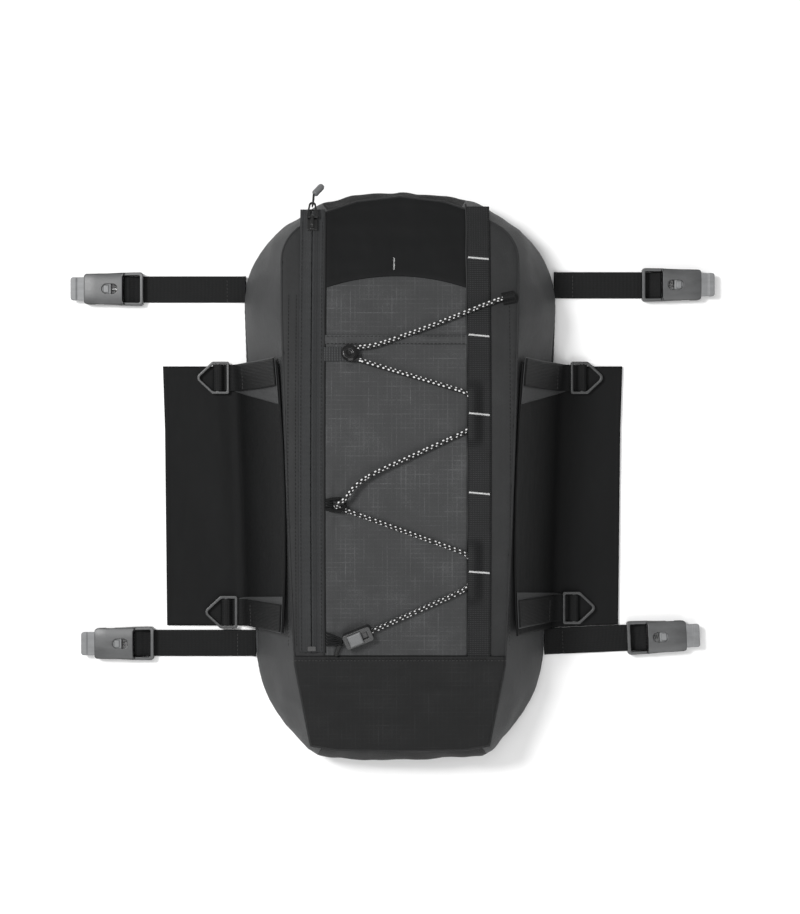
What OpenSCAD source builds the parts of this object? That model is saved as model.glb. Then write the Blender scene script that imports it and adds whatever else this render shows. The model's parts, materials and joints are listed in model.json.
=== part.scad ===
/* [Bag body] */
// Width of the back panel across the shoulders
bag_w = 290; // [270:1:310]
// Height of the front face at its crown
crown_h = 117; // [105:1:125]
// Radius of the arc that the front face follows
front_r = 660; // [600:10:720]
// Thickness of the padded back panel
back_t = 8; // [6:0.5:10]
// Thickness of the coated side wall
wall_t = 2.5; // [2:0.5:4]
// Half width of the front face at the shoulders
front_half_w = 107; // [100:1:110]

/* [Front layers] */
// Thickness of the front panel
panel_t = 1.5; // [1:0.1:2]
// Thickness of one pocket layer
pocket_t = 1.5; // [1:0.1:2]
// Width of the daisy chain webbing
daisy_w = 21.5; // [19:0.5:22]
// Distance between two bar tacks of the daisy chain
tack_pitch = 71.5; // [68:0.5:75]
// Diameter of the shock cord
cord_d = 4; // [3:0.5:4]

/* [Wings] */
// Length of a wing along the bag
wing_l = 248; // [200:1:250]
// Reach of the left wing from the bag's middle line
left_reach = 223; // [200:1:230]
// Reach of the right wing from the bag's middle line
right_reach = 209; // [200:1:230]
// Thickness of a wing
wing_t = 2; // [1.5:0.1:2]

/* [Straps and clips] */
// Width of the strap webbing
strap_w = 25; // [24:0.5:25]
// Thickness of the webbing
web_t = 1.6; // [1.2:0.1:1.6]
// Length of a clip housing
clip_l = 56; // [54:1:60]
// Height of a clip housing
clip_h = 13.2; // [13.2:0.2:15]

/* [Hidden] */
$fn = 48;

// The origin is the middle of the whole footprint, so the bag's own middle stands a little off it.
bag_middle = [7, 17, 0];
fabric_black = [0.13, 0.13, 0.14];
fabric_grey = [0.34, 0.34, 0.35];
ripstop = [0.22, 0.22, 0.23];
webbing = [0.10, 0.10, 0.11];
thread_white = [0.9, 0.9, 0.9];
plastic_dark = [0.25, 0.26, 0.27];
plastic_light = [0.55, 0.57, 0.58];

// ---- Outlines ----
half_w = bag_w / 2;
shoulder_r = 88;
shoulder_y = 143;
foot_half_w = half_w - 11;
foot_r = 120;
foot_y = -175;

function arc(cx, cy, r, a0, a1, n) =
    [for (i = [0:n]) let (a = a0 + (a1 - a0) * i / n) [cx + r * cos(a), cy + r * sin(a)]];
function mirrored(half) =
    concat(half, [for (i = [len(half) - 2:-1:1]) [-half[i][0], half[i][1]]]);

// Back panel outline, grown outwards by d
function base_outline(d) = mirrored(concat(
    [[0, -283 - d], [60, -280.5 - d]],
    arc(foot_half_w - foot_r, foot_y, foot_r + d, -60, 0, 9),
    arc(half_w - shoulder_r, shoulder_y, shoulder_r + d, -2, 64, 9),
    [[66 + d / 2, 238 + d], [40, 242 + d], [0, 244 + d]]));

corner_r = 38;
// Front face outline, grown outwards by d
function front_outline(d) = mirrored(concat(
    [[0, -271 - d], [60, -270 - d], [82 + d, -266 - d], [front_half_w - 11.5 + d, -190]],
    [[front_half_w + d, 130]],
    arc(front_half_w + 1 - corner_r, 180, corner_r + d, 0, 62, 6),
    [[66 + d, 226 + d], [40, 235 + d], [0, 240 + d]]));

// ---- Front face: every layer on it is a prism cut by two arcs about one axis ----
arc_y = -15;
arc_z = crown_h - front_r;
function front_z(y, h) = arc_z + sqrt(pow(front_r + h, 2) - pow(y - arc_y, 2));
function front_tilt(y, h) = asin((y - arc_y) / (front_r + h));

module drum(h) {
    translate([0, arc_y, arc_z])
        rotate([0, 90, 0])
            cylinder(r = front_r + h, h = 600, center = true, $fn = 256);
}

module layer(points, h0, h1) {
    intersection() {
        translate([0, 0, 30])
            linear_extrude(140)
                polygon(points);
        difference() {
            drum(h1);
            drum(h0);
        }
    }
}

function box2(x0, x1, y0, y1) = [[x0, y0], [x1, y0], [x1, y1], [x0, y1]];

// Stands the children on the front face at x, y and height h above it
module on_front(x, y, h, turn = 0) {
    translate([x, y, front_z(y, h)])
        rotate([-front_tilt(y, h), 0, 0])
            rotate([0, 0, turn])
                children();
}

module in_frame() {
    translate(bag_middle)
        children();
}

// ---- Bag shell ----
rim_z = 18;

module bag_hull(inset, low, top_h) {
    hull() {
        translate([0, 0, low])
            linear_extrude(rim_z - low)
                polygon(base_outline(-inset));
        intersection() {
            translate([0, 0, 40])
                linear_extrude(120)
                    polygon(front_outline(-inset));
            drum(top_h);
        }
    }
}

module back_panel() {
    color(fabric_black)
        in_frame()
            linear_extrude(back_t)
                polygon(base_outline(0));
}

foam_t = 5;
module foam_sheet() {
    color([0.6, 0.6, 0.6])
        in_frame()
            translate([0, 0, back_t])
                linear_extrude(foam_t)
                    polygon(base_outline(-6));
}

module side_wall() {
    color(fabric_grey)
        in_frame()
            difference() {
                bag_hull(0, back_t, 0);
                bag_hull(wall_t, back_t - 3, 6);
            }
}

piping_r = 1.6;
module edge_piping() {
    color([0.45, 0.45, 0.46])
        in_frame()
            translate([0, 0, back_t - piping_r])
                linear_extrude(2 * piping_r)
                    difference() {
                        polygon(base_outline(piping_r));
                        polygon(base_outline(0));
                    }
}

// ---- Front layers ----
zip_x = -80.5;
zip_top_y = 228;
zip_foot_y = -178;
seam_left_x = -68.5;
seam_right_x = 61;
pocket_top = panel_t + pocket_t;
bottom_pocket_y = -181;
hem_y = 111;

module front_panel() {
    color(ripstop)
        in_frame()
            difference() {
                layer(front_outline(0), 0, panel_t);
                translate([zip_x - 7, zip_foot_y, 30])
                    cube([14, zip_top_y - zip_foot_y + 4, 120]);
            }
}

// Lower edge of the smooth top panel: an arch between the two seams
arch_y = 154;
arch_rise = 11;
function arch(n) = [for (i = [0:n]) let (t = i / n)
    [seam_left_x + (seam_right_x - seam_left_x) * t, arch_y + arch_rise * 4 * t * (1 - t)]];

module top_panel() {
    color(fabric_black)
        in_frame()
            intersection() {
                layer(front_outline(0), panel_t, panel_t + 1.2);
                linear_extrude(200)
                    polygon(concat(arch(12), [[seam_right_x, 260], [seam_left_x, 260]]));
            }
}

module center_pocket() {
    color(ripstop)
        in_frame()
            layer(box2(seam_left_x, seam_right_x, bottom_pocket_y, hem_y), panel_t, pocket_top);
}

hem_w = 9;
module pocket_hem() {
    color(fabric_black)
        in_frame()
            layer(box2(seam_left_x, seam_right_x, hem_y - hem_w, hem_y), pocket_top, pocket_top + 0.8);
}

module bottom_pocket() {
    color(ripstop)
        in_frame()
            intersection() {
                layer(front_outline(0), panel_t, pocket_top + 1);
                translate([-200, -400, 0])
                    cube([400, 400 + bottom_pocket_y - 0.3, 200]);
            }
}

// ---- Zip ----
tape_t = 1.2;
tape_w = 10.2;
slit_w = 1.4;
chain_w = 2.6;
chain_top = panel_t + tape_t + 1.3;

module zip_tapes() {
    color(fabric_black)
        in_frame() {
            layer(box2(zip_x - slit_w / 2 - tape_w, zip_x - slit_w / 2, zip_foot_y, zip_top_y),
                panel_t, panel_t + tape_t);
            layer(box2(zip_x + slit_w / 2, zip_x + slit_w / 2 + tape_w, zip_foot_y, zip_top_y),
                panel_t, panel_t + tape_t);
        }
}

module zip_chain() {
    color([0.05, 0.05, 0.05])
        in_frame()
            for (side = [-1, 1]) {
                near = zip_x + side * slit_w / 2;
                far = zip_x + side * (slit_w / 2 + chain_w);
                layer(box2(min(near, far), max(near, far), zip_foot_y + 6, zip_top_y - 2),
                    panel_t + tape_t, chain_top);
            }
}

module zip_stops() {
    color(plastic_dark)
        in_frame()
            for (y = [zip_foot_y + 1, zip_top_y - 1.8])
                layer(box2(zip_x - 4, zip_x + 4, y, y + (y < 0 ? 4.6 : 1.6)),
                    panel_t + tape_t, chain_top + 0.2);
}

slider_y = 215;
slider_l = 14;
slider_w = 9.2;
slider_gap = 0.3;
slider_top = chain_top + slider_gap + 1.8;
bridge_h = 4.2;

module zip_slider() {
    plan = box2(zip_x - slider_w / 2, zip_x + slider_w / 2,
        slider_y - slider_l / 2, slider_y + slider_l / 2);
    neck = box2(zip_x - 0.4, zip_x + 0.4, slider_y - 2, slider_y + slider_l / 2);
    flange_w = 1.2;
    color([0.08, 0.08, 0.08])
        in_frame() {
            layer(plan, chain_top + slider_gap, slider_top);
            layer(plan, 0.2, panel_t - slider_gap);
            layer(neck, 0.6, chain_top + 1);
            on_front(zip_x, slider_y, slider_top - 0.4)
                rotate([90, 0, 90])
                    linear_extrude(2.6, center = true)
                        difference() {
                            polygon([[-5.5, 0], [6.8, 0], [6.8, bridge_h - 1.2], [5.6, bridge_h],
                                [-3.5, bridge_h], [-5.5, 1.4]]);
                            translate([pull_dy, pull_dh])
                                circle(r = 1.2);
                        }
        }
}

// ---- Zip pull: a wire ring, a cord loop and a moulded tip ----
pull_dy = 4.8;
pull_dh = 2.2;
ring_wire = 1.6;

// Rings of points perpendicular to a route, joined into one closed tube
function unit(v) = v / norm(v);
function tangent(p, i) = unit(p[min(i + 1, len(p) - 1)] - p[max(i - 1, 0)]);
function ring(p, t, r, n) =
    let (side = unit(cross(t, abs(t[2]) > 0.9 ? [1, 0, 0] : [0, 0, 1])), up = cross(side, t))
    [for (k = [0:n - 1]) p + r * (cos(360 * k / n) * side + sin(360 * k / n) * up)];

module tube(route, d, n) {
    rings = [for (i = [0:len(route) - 1]) each ring(route[i], tangent(route, i), d / 2, n)];
    last = (len(route) - 1) * n;
    walls = [for (i = [0:len(route) - 2], k = [0:n - 1])
        let (a = i * n + k, b = i * n + (k + 1) % n)
        each [[a, a + n, b + n], [a, b + n, b]]];
    ends = [[for (k = [0:n - 1]) k], [for (k = [n - 1:-1:0]) last + k]];
    polyhedron(points = rings, faces = concat(walls, ends), convexity = 8);
}

// Local +Y runs along the front face away from the slider, and X is the axis that the pull flips about
module pull_place() {
    in_frame()
        on_front(zip_x, slider_y, slider_top - 0.4)
            translate([0, pull_dy, pull_dh])
                children();
}

ring_l = 15;
ring_half_w = 5.2;
module pull_ring() {
    color([0.5, 0.5, 0.5])
        pull_place() {
            rotate([0, 90, 0])
                cylinder(r = ring_wire / 2, h = 2 * ring_half_w, center = true);
            linear_extrude(ring_wire, center = true)
                difference() {
                    hull() {
                        translate([-ring_half_w, -0.8])
                            square([2 * ring_half_w, 1.6]);
                        translate([0, ring_l - 3.4])
                            circle(r = 3.4);
                    }
                    hull() {
                        translate([-ring_half_w + 1.6, 0.8])
                            square([2 * ring_half_w - 3.2, 0.5]);
                        translate([0, ring_l - 3.4])
                            circle(r = 1.8);
                    }
                    translate([-1.7, -2])
                        square([3.4, 3]);
                }
        }
}

module pull_cord() {
    color(webbing)
        pull_place()
            tube([[0.9, ring_l + 7.4, 0.9], [0.8, ring_l + 3, 2], [0.6, ring_l - 0.5, 2.2],
                [0, ring_l - 3.6, 1.2], [0, ring_l - 4.4, -0.4], [0.2, ring_l - 2, -2.2],
                [0.8, ring_l + 2, -2], [1.2, ring_l + 7.2, -1.1]], 1.8, 8);
}

tip_l = 13;
tip_r = 3.2;
module pull_tip() {
    color(plastic_light)
        pull_place()
            translate([1.2, ring_l + 7.6, 0])
                rotate([0, 0, -40])
                    rotate([-90, 0, 0])
                        rotate_extrude()
                            polygon([[0, 0.4], [2.4, 0.4], [tip_r, 1.6], [tip_r, tip_l - 2.6],
                                [2.2, tip_l - 0.6], [0, tip_l]]);
}

// ---- Daisy chain ----
daisy_x = seam_right_x;
daisy_top_y = 235;
first_tack_y = 182;
tack_y = [for (i = [0:4]) first_tack_y - i * tack_pitch];
cord_h = pocket_top + 0.4 + cord_d / 2;
channel_top = cord_h + cord_d / 2 + 0.4;
hump_l = 60;
hump_y = [tack_y[2], tack_y[4]];
channel_w = 7;

module daisy_chain() {
    x1 = daisy_x + daisy_w;
    color(webbing)
        in_frame() {
            difference() {
                intersection() {
                    layer(front_outline(0), panel_t, panel_t + web_t);
                    translate([daisy_x + 0.1, bottom_pocket_y, 0])
                        cube([daisy_w - 0.1, daisy_top_y - bottom_pocket_y, 200]);
                }
                for (y = hump_y)
                    translate([daisy_x, y - hump_l / 2, 0])
                        cube([daisy_w, hump_l, 200]);
            }
            for (y = hump_y) {
                layer(box2(daisy_x + 0.1, x1, y - hump_l / 2, y + hump_l / 2),
                    channel_top, channel_top + web_t);
                for (end = [-1, 1]) {
                    near = y + end * hump_l / 2;
                    far = near - end * web_t;
                    layer(box2(daisy_x + 0.1, x1, min(near, far), max(near, far)),
                        panel_t, channel_top);
                }
                layer(box2(daisy_x + channel_w, x1, y - 3, y + 3), panel_t, channel_top);
            }
        }
}

tack_w = 1.6;
module bar_tacks() {
    color(thread_white)
        in_frame() {
            for (i = [0:4]) {
                under = (i == 2 || i == 4) ? channel_top + web_t : panel_t + web_t;
                layer(box2(daisy_x + 1, daisy_x + daisy_w - 1,
                    tack_y[i] - tack_w / 2, tack_y[i] + tack_w / 2), under, under + 0.4);
            }
            layer(box2(-6, -4.8, 171, 182), panel_t + 1.2, panel_t + 1.6);
        }
}

// ---- Shock cord and its fittings ----
anchor_x = 93;
anchor_y = 143;
module cord_anchor_tab() {
    color(webbing)
        in_frame()
            on_front(anchor_x, anchor_y, panel_t, 12)
                difference() {
                    translate([0, -5.5, 0.05])
                        cube([12, 11, 7.6]);
                    translate([-1, 0, cord_h - panel_t])
                        rotate([0, 90, 0])
                            cylinder(r = cord_d / 2 + 0.1, h = 9);
                }
}

hook_x = -45.5;
hook_y = 93;
hook_base = pocket_top + web_t;
module hook_tab() {
    color(webbing)
        in_frame()
            difference() {
                layer(box2(seam_left_x + 0.2, hook_x + 7, hook_y - 6.5, hook_y + 6.5),
                    pocket_top, hook_base);
                on_front(hook_x, hook_y, 0)
                    cylinder(r = 2.2, h = 20);
            }
}

hook_head_r = 7.7;
hook_post_r = 3;
module cord_hook() {
    color(plastic_dark)
        in_frame()
            on_front(hook_x, hook_y, pocket_top + 0.2)
                rotate_extrude()
                    polygon([[0, 0], [2, 0], [2, web_t + 0.1], [6.4, web_t + 0.1],
                        [6.4, web_t + 1], [hook_post_r, web_t + 1],
                        [hook_post_r, web_t + cord_d + 1.6], [hook_head_r, web_t + cord_d + 1.6],
                        [hook_head_r, web_t + cord_d + 2.6], [5.8, web_t + cord_d + 3.8],
                        [3, web_t + cord_d + 3.8], [2.2, web_t + cord_d + 3], [0, web_t + cord_d + 3]]);
}

function on_arc(p) = [p[0], p[1], front_z(p[1], p[2])];

mid_y = -43.5;
loop_d = 2.4;
loop_bend_h = cord_h + cord_d / 2 + loop_d / 2 + 0.3;
module mid_cord_loop() {
    reach = 12;
    bend = [for (a = [90:-22.5:-90]) [-55 + 5.6 * cos(a), mid_y + 5.6 * sin(a), loop_bend_h]];
    color(webbing)
        in_frame()
            tube([for (p = concat([[seam_left_x + 1, mid_y + 3.6, pocket_top + 1.6],
                [-62, mid_y + 5, pocket_top + 2.6]], bend,
                [[-62, mid_y - 5, pocket_top + 2.6],
                [seam_left_x + 1, mid_y - 3.6, pocket_top + 1.6]])) on_arc(p)], loop_d, 8);
}

// Cord lock: its long axis leans by lock_turn from the X axis
lock_x = -38;
lock_y = -162.5;
lock_turn = 23;
lock_l = 27;
lock_w = 14;
lock_h = 8.6;
lock_base = pocket_top + 0.2;
lock_bore_h = 3;

module lock_place() {
    in_frame()
        on_front(lock_x, lock_y, lock_base, lock_turn)
            children();
}

module cord_lock_body() {
    color([0.1, 0.1, 0.1])
        lock_place()
            difference() {
                hull()
                    for (x = [-1, 1], y = [-1, 1])
                        translate([x * (lock_l / 2 - 2.5), y * (lock_w / 2 - 2.5), 0.1])
                            cylinder(r = 2.5, h = lock_h, $fn = 32);
                translate([0, 0, lock_bore_h])
                    rotate([0, 90, 0])
                        cylinder(r = cord_d / 2 + 0.1, h = 40, center = true);
                translate([-9.2, -5.3, lock_h - 2.6])
                    cube([18.4, 10.6, 1.6]);
                translate([-9.2, -3.3, lock_h - 2])
                    cube([18.4, 6.6, 4]);
            }
}

module cord_lock_button() {
    color(plastic_light)
        lock_place() {
            translate([-8.9, -5, lock_h - 2.3])
                cube([12.6, 10, 1]);
            translate([-8.9, -3, lock_h - 2])
                cube([12.6, 6, 2.6]);
            hull() {
                translate([-9, -5.5, lock_h + 0.4])
                    cube([13, 11, 1.2]);
                translate([-8, -4.5, lock_h + 1.6])
                    cube([11, 9, 0.9]);
            }
        }
}

module lower_cord_loop() {
    color(webbing)
        in_frame()
            for (leg = [-1, 0, 1])
                tube([for (p = [[seam_left_x + 1, -165.5 + leg * 4.4, pocket_top + 1.6],
                    [-62, -166.2 + leg * 3.8, pocket_top + 2.4],
                    [-56, -167 + leg * 2.6, pocket_top + 3.2 + 1.4 * abs(leg)],
                    [-52.6, -168.4 + leg * 2.4, pocket_top + 6.4 + leg * leg]]) on_arc(p)], 2, 8);
}

// Route of the shock cord as [x, y, height above the front face], from its anchor to its tail
cord_route = [
    [100, 145.4, 5.4], [92, 143.75, 5.4], [81, 140, 5.5], [60, 131.6, 5.5], [30, 119.8, 5.6],
    [0, 108.8, 6.3], [-22, 101.6, 7.4], [-38, 99.3, 8.05], [-42, 98.9, 8.05], [-46, 99.2, 8.05],
    [-49.4, 97.6, 8.05], [-50.9, 94.2, 8.05], [-49.8, 90.6, 8.05], [-46.4, 88.5, 8.05],
    [-42, 88.3, 8.05], [-36, 87.5, 7.8], [-10, 79.5, 6.4], [20, 70.5, 5.6], [48, 62, 5.5],
    [58, 58.5, 5.4], [63, 54, 5.4], [64.6, 48, 5.4], [64.8, 40, 5.4], [64.4, 32, 5.4],
    [62.4, 26, 5.4], [57, 22, 5.4], [46, 17, 5.6], [10, 0.6, 7], [-24, -15, 9], [-40, -26, 10.8],
    [-48, -36, 12.6], [-53, -40.4, 12.5], [-56.4, -42.4, 11], [-57.4, -43.8, 8.8],
    [-56.2, -45.6, 6.6], [-52, -46.6, 5.5], [-46, -49, 5.4], [-30, -54.6, 5.4], [0, -65.5, 5.4],
    [30, -76.4, 5.4], [50, -83.6, 5.4], [58, -87, 5.4], [62.6, -91, 5.4], [64.6, -97, 5.4],
    [64.8, -104, 5.4], [64.4, -111, 5.4], [62.4, -116.6, 5.4], [57, -120.6, 5.4],
    [44, -127, 5.4], [18, -138.6, 5.4], [-8, -150.3, 5.7], [-22, -156.55, 6.2],
    [-30, -159.86, 6.2], [-38, -163.17, 6.2], [-46, -166.48, 6.2], [-51.6, -168.8, 6.15],
    [-55.4, -172.5, 5.6], [-57.4, -176.8, 5.3], [-58.4, -180.6, 5.2]];

module shock_cord() {
    color([0.07, 0.07, 0.07])
        in_frame()
            tube([for (p = cord_route) on_arc(p)], cord_d, 8);
}

// ---- Wings: a ribbon profile [distance from the base edge, height], swept along the base edge ----
edge_tilt = atan(11 / (shoulder_y - foot_y));
edge_x = half_w - 11 * shoulder_y / (shoulder_y - foot_y);
wing_path = [[-36.2, crown_h], [4.4, 17], [9, 5.2], [16, 1.3], [100, 1.3]];
wing_top_y = 86;
wing_foot_y = wing_top_y - wing_l;

function left_of(v) = [-v[1], v[0]];
function segment_normal(p, i) = left_of(unit(p[i + 1] - p[i]));
function corner_normal(p, i) =
    let (a = segment_normal(p, max(i - 1, 0)), b = segment_normal(p, min(i, len(p) - 2)))
    (a + b) / (1 + a * b);
function offset_path(p, d) = [for (i = [0:len(p) - 1]) p[i] + d * corner_normal(p, i)];
function ribbon(p, d0, d1) =
    let (upper = offset_path(p, d1))
    concat(offset_path(p, d0), [for (i = [len(p) - 1:-1:0]) upper[i]]);

// Sweeps a profile along the right or left base edge, where side is 1 or -1
module along_edge(side, profile) {
    mirror([side < 0 ? 1 : 0, 0, 0])
        translate([edge_x, 0, 0])
            rotate([90, 0, -edge_tilt])
                linear_extrude(500, center = true)
                    polygon(profile);
}

module edge_piece(side, profile, plan, top_h) {
    in_frame()
        intersection() {
            along_edge(side, profile);
            linear_extrude(200)
                polygon([for (p = plan) [side * p[0], p[1]]]);
            drum(top_h);
        }
}

// Foot edge of the left and right wing: [y beside the bag, y at the outer corner]
left_foot = [wing_foot_y + 1.7, wing_foot_y + 2.3];
right_foot = [wing_foot_y - 1.9, wing_foot_y + 3.1];
function wing_plan(reach, foot) = [[90, foot[0]], [reach - 2, foot[1]],
    [reach, wing_top_y - 60], [reach + 2, wing_top_y], [90, wing_top_y]];

module wing(side, reach, foot) {
    color(fabric_black)
        edge_piece(side, ribbon(wing_path, -wing_t / 2, wing_t / 2), wing_plan(reach, foot), -4);
}

module left_wing() {
    wing(-1, left_reach, left_foot);
}

module right_wing() {
    wing(1, right_reach, right_foot);
}

// Upper and lower lash points: [y of the tab's middle, y span of the gusset at the seam and at its end]
gusset_t = 0.8;
tab_end = 18.5;
function lash_y(side) = [75, side < 0 ? -147 : -143];
module gussets(side) {
    color([0.28, 0.28, 0.29])
        for (i = [0, 1]) {
            y = lash_y(side)[i];
            end_x = edge_x + 17;
            up = i == 0 ? 10.5 : 22;
            low = i == 0 ? 22 : 14;
            plan = [[90, y - low], [end_x, y - 12.6], [end_x, y + 12.6], [90, y + up]];
            edge_piece(side, ribbon(wing_path, wing_t / 2, wing_t / 2 + gusset_t), plan, -4.2);
        }
}

module left_gussets() {
    gussets(-1);
}

module right_gussets() {
    gussets(1);
}

tab_d0 = wing_t / 2 + gusset_t;
module tabs(side) {
    color(webbing)
        for (y = lash_y(side)) {
            x1 = edge_x + y * tan(edge_tilt) + tab_end;
            plan = box2(90, x1, y - strap_w / 2, y + strap_w / 2);
            edge_piece(side, ribbon(wing_path, tab_d0, tab_d0 + web_t), plan, -4.4);
        }
}

module left_tabs() {
    tabs(-1);
}

module right_tabs() {
    tabs(1);
}

// ---- Ladder locks: a moulded frame with a webbing bar and a D loop ----
lock_wire = 2.6;
lock_inner_w = 25.6;
tab_top_z = 1.3 + tab_d0 + web_t;
frame_z = tab_top_z + 0.3 + lock_wire / 2;
bar_x = 1.8;
mid_bar_x = 11.5;
d_reach = 31;

// Puts the children beside the tab's end; local +X points away from the bag
module lock_frame(side, y) {
    in_frame()
        mirror([side < 0 ? 1 : 0, 0, 0])
            translate([edge_x + y * tan(edge_tilt) + tab_end, y, 0])
                children();
}

module ladder_lock(side, y) {
    outer = lock_inner_w / 2 + lock_wire;
    inner = lock_inner_w / 2;
    color(plastic_dark)
        lock_frame(side, y)
            translate([0, 0, frame_z - lock_wire / 2])
                linear_extrude(lock_wire)
                    difference() {
                        hull() {
                            for (s = [-1, 1])
                                translate([bar_x + 0.7, s * (outer - 2)])
                                    circle(r = 2, $fn = 32);
                            for (s = [-1, 1])
                                translate([16, s * (outer - 2)])
                                    circle(r = 2, $fn = 32);
                            translate([d_reach - 5, 0])
                                circle(r = 5, $fn = 32);
                        }
                        translate([bar_x + lock_wire / 2, -inner])
                            square([mid_bar_x - bar_x - lock_wire, 2 * inner]);
                        hull() {
                            translate([mid_bar_x + lock_wire / 2, -inner])
                                square([2, 2 * inner]);
                            translate([16.4, -inner + 1])
                                square([0.5, 2 * inner - 2]);
                            translate([d_reach - 5.6, 0])
                                circle(r = 2.9, $fn = 32);
                        }
                    }
}

module lock_webbing(side, y) {
    low = tab_top_z - web_t / 2;
    high = frame_z + lock_wire / 2 + 0.1 + web_t / 2;
    path = [[0.3, low], [5, low], [mid_bar_x - 2.5, high], [mid_bar_x + 2.2, high],
        [mid_bar_x + 4.2, low]];
    color(webbing)
        lock_frame(side, y)
            translate([0, strap_w / 2, 0])
                rotate([90, 0, 0])
                    linear_extrude(strap_w)
                        polygon(ribbon(path, -web_t / 2, web_t / 2));
}

// ---- Straps and clips: [side, y where the strap leaves the bag, x of the clip's inner end, turn] ----
strap_data = [[-1, 159, 243, 0], [-1, -176.5, 233, 0], [1, 163, 229, 0], [1, -175, 215, 2.5]];
strap_root_x = [146, 136.2, 145.8, 136.4];
strap_z = 0.4;

// Local +X runs outwards along strap i from the place where it leaves the bag
module strap_frame(i) {
    s = strap_data[i];
    in_frame()
        mirror([s[0] < 0 ? 1 : 0, 0, 0])
            translate([strap_root_x[i], s[1], 0])
                rotate([0, 0, s[3]])
                    children();
}

function strap_length(i) = (strap_data[i][2] - strap_root_x[i]) / cos(strap_data[i][3]);
slot_x0 = 3.2;
slot_x1 = 19.5;

module strap(i) {
    l = strap_length(i);
    z = strap_z + web_t / 2;
    path = [[0.3, 5], [4, z], [l + 8, z], [l + slot_x1 - 4, 4.4], [l + slot_x1 - 0.4, 4.4]];
    color(webbing)
        strap_frame(i)
            translate([0, strap_w / 2, 0])
                rotate([90, 0, 0])
                    linear_extrude(strap_w)
                        polygon(ribbon(path, -web_t / 2, web_t / 2));
}

clip_half_w = 15.8;
clip_tip_half_w = 14.4;
lip_t = 2.4;
cavity_x0 = 38;
cavity_x1 = 52;
cavity_top = 8;
gate_z = 9.5;
gate_t = 2;
gate_half_w = 11;
tongue_half_w = 9;
gap = 0.3;
web_x = 30.5;

module clip_place(i) {
    strap_frame(i)
        translate([strap_length(i), 0, 0])
            children();
}

module clip_housing(i) {
    color(plastic_dark)
        clip_place(i)
            difference() {
                translate([0, 0, strap_z + 0.2])
                    linear_extrude(clip_h - strap_z - 0.2)
                        hull()
                            for (s = [-1, 1]) {
                                translate([3, s * (clip_half_w - 3)])
                                    circle(r = 3, $fn = 32);
                                translate([20, s * (clip_half_w - 3)])
                                    circle(r = 3, $fn = 32);
                                translate([clip_l - 3, s * (clip_tip_half_w - 3)])
                                    circle(r = 3, $fn = 32);
                            }
                // ladder slot, and the way in for the strap under the end bar
                translate([slot_x0, -strap_w / 2 - 0.4, -1])
                    cube([slot_x1 - slot_x0, strap_w + 0.8, 20]);
                translate([-1, -strap_w / 2 - 0.4, -1])
                    cube([slot_x0 + 2, strap_w + 0.8, 6.4]);
                // the strap end stands lower than the body
                translate([-1, -20, 10.6])
                    cube([slot_x1, 40, 10]);
                // chamber of the gate's web, slot of its tongue and channel of its plate
                translate([22, -tongue_half_w - gap, -1])
                    cube([12.2, 2 * (tongue_half_w + gap), gate_z + gate_t + 1 + gap]);
                translate([22, -tongue_half_w - gap, -1])
                    cube([cavity_x0 - 21, 2 * (tongue_half_w + gap), 1 + strap_z + lip_t + 0.4]);
                translate([22, -gate_half_w - gap, gate_z - gap])
                    cube([clip_l, 2 * (gate_half_w + gap), gate_t + 2 * gap]);
                // cavity for the deck line and its mouth
                translate([cavity_x0, -20, strap_z + lip_t + 0.2])
                    cube([cavity_x1 - cavity_x0, 40, cavity_top - strap_z - lip_t - 0.2]);
                translate([cavity_x0, -20, -1])
                    cube([7.5, 40, cavity_top]);
                // thumb window
                hull()
                    for (x = [24.3 + 4.7, 38.8 - 4.7])
                        translate([x, 0, gate_z + 1])
                            cylinder(r = 4.7, h = 10, $fn = 32);
            }
}

module clip_gate(i) {
    color(plastic_light)
        clip_place(i) {
            translate([web_x, -gate_half_w, gate_z])
                cube([clip_l + 12.5 - web_x - 3, 2 * gate_half_w, gate_t]);
            translate([clip_l + 7, 0, gate_z - 1.2])
                linear_extrude(gate_t + 2)
                    hull()
                        for (s = [-1, 1]) {
                            translate([0, s * gate_half_w - (s > 0 ? 1 : 0)])
                                square([1, 1]);
                            translate([3, s * (gate_half_w - 2.5)])
                                circle(r = 2.5, $fn = 32);
                        }
            translate([web_x, -tongue_half_w, strap_z + 0.5])
                cube([3, 2 * tongue_half_w, gate_z]);
            translate([web_x, -tongue_half_w, strap_z + 0.5])
                cube([14.7, 2 * tongue_half_w, lip_t - 0.5]);
            translate([32.5, -3.4, gate_z + 1])
                cube([4.6, 6.8, clip_h - gate_z - 1.6]);
        }
}

spring_r = 1.6;
spring_turns = 4;
module gate_spring(i) {
    route = [for (k = [0:10 * spring_turns])
        [22.4 + 7.6 * k / (10 * spring_turns), spring_r * cos(36 * k), 6 + spring_r * sin(36 * k)]];
    color([0.7, 0.7, 0.7])
        clip_place(i)
            tube(route, 0.5, 6);
}

module ladder_lock_ul() { ladder_lock(-1, lash_y(-1)[0]); }
module ladder_lock_ll() { ladder_lock(-1, lash_y(-1)[1]); }
module ladder_lock_ur() { ladder_lock(1, lash_y(1)[0]); }
module ladder_lock_lr() { ladder_lock(1, lash_y(1)[1]); }
module lock_webbing_ul() { lock_webbing(-1, lash_y(-1)[0]); }
module lock_webbing_ll() { lock_webbing(-1, lash_y(-1)[1]); }
module lock_webbing_ur() { lock_webbing(1, lash_y(1)[0]); }
module lock_webbing_lr() { lock_webbing(1, lash_y(1)[1]); }
module strap_ul() { strap(0); }
module strap_ll() { strap(1); }
module strap_ur() { strap(2); }
module strap_lr() { strap(3); }
module clip_housing_ul() { clip_housing(0); }
module clip_housing_ll() { clip_housing(1); }
module clip_housing_ur() { clip_housing(2); }
module clip_housing_lr() { clip_housing(3); }
module clip_gate_ul() { clip_gate(0); }
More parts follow.
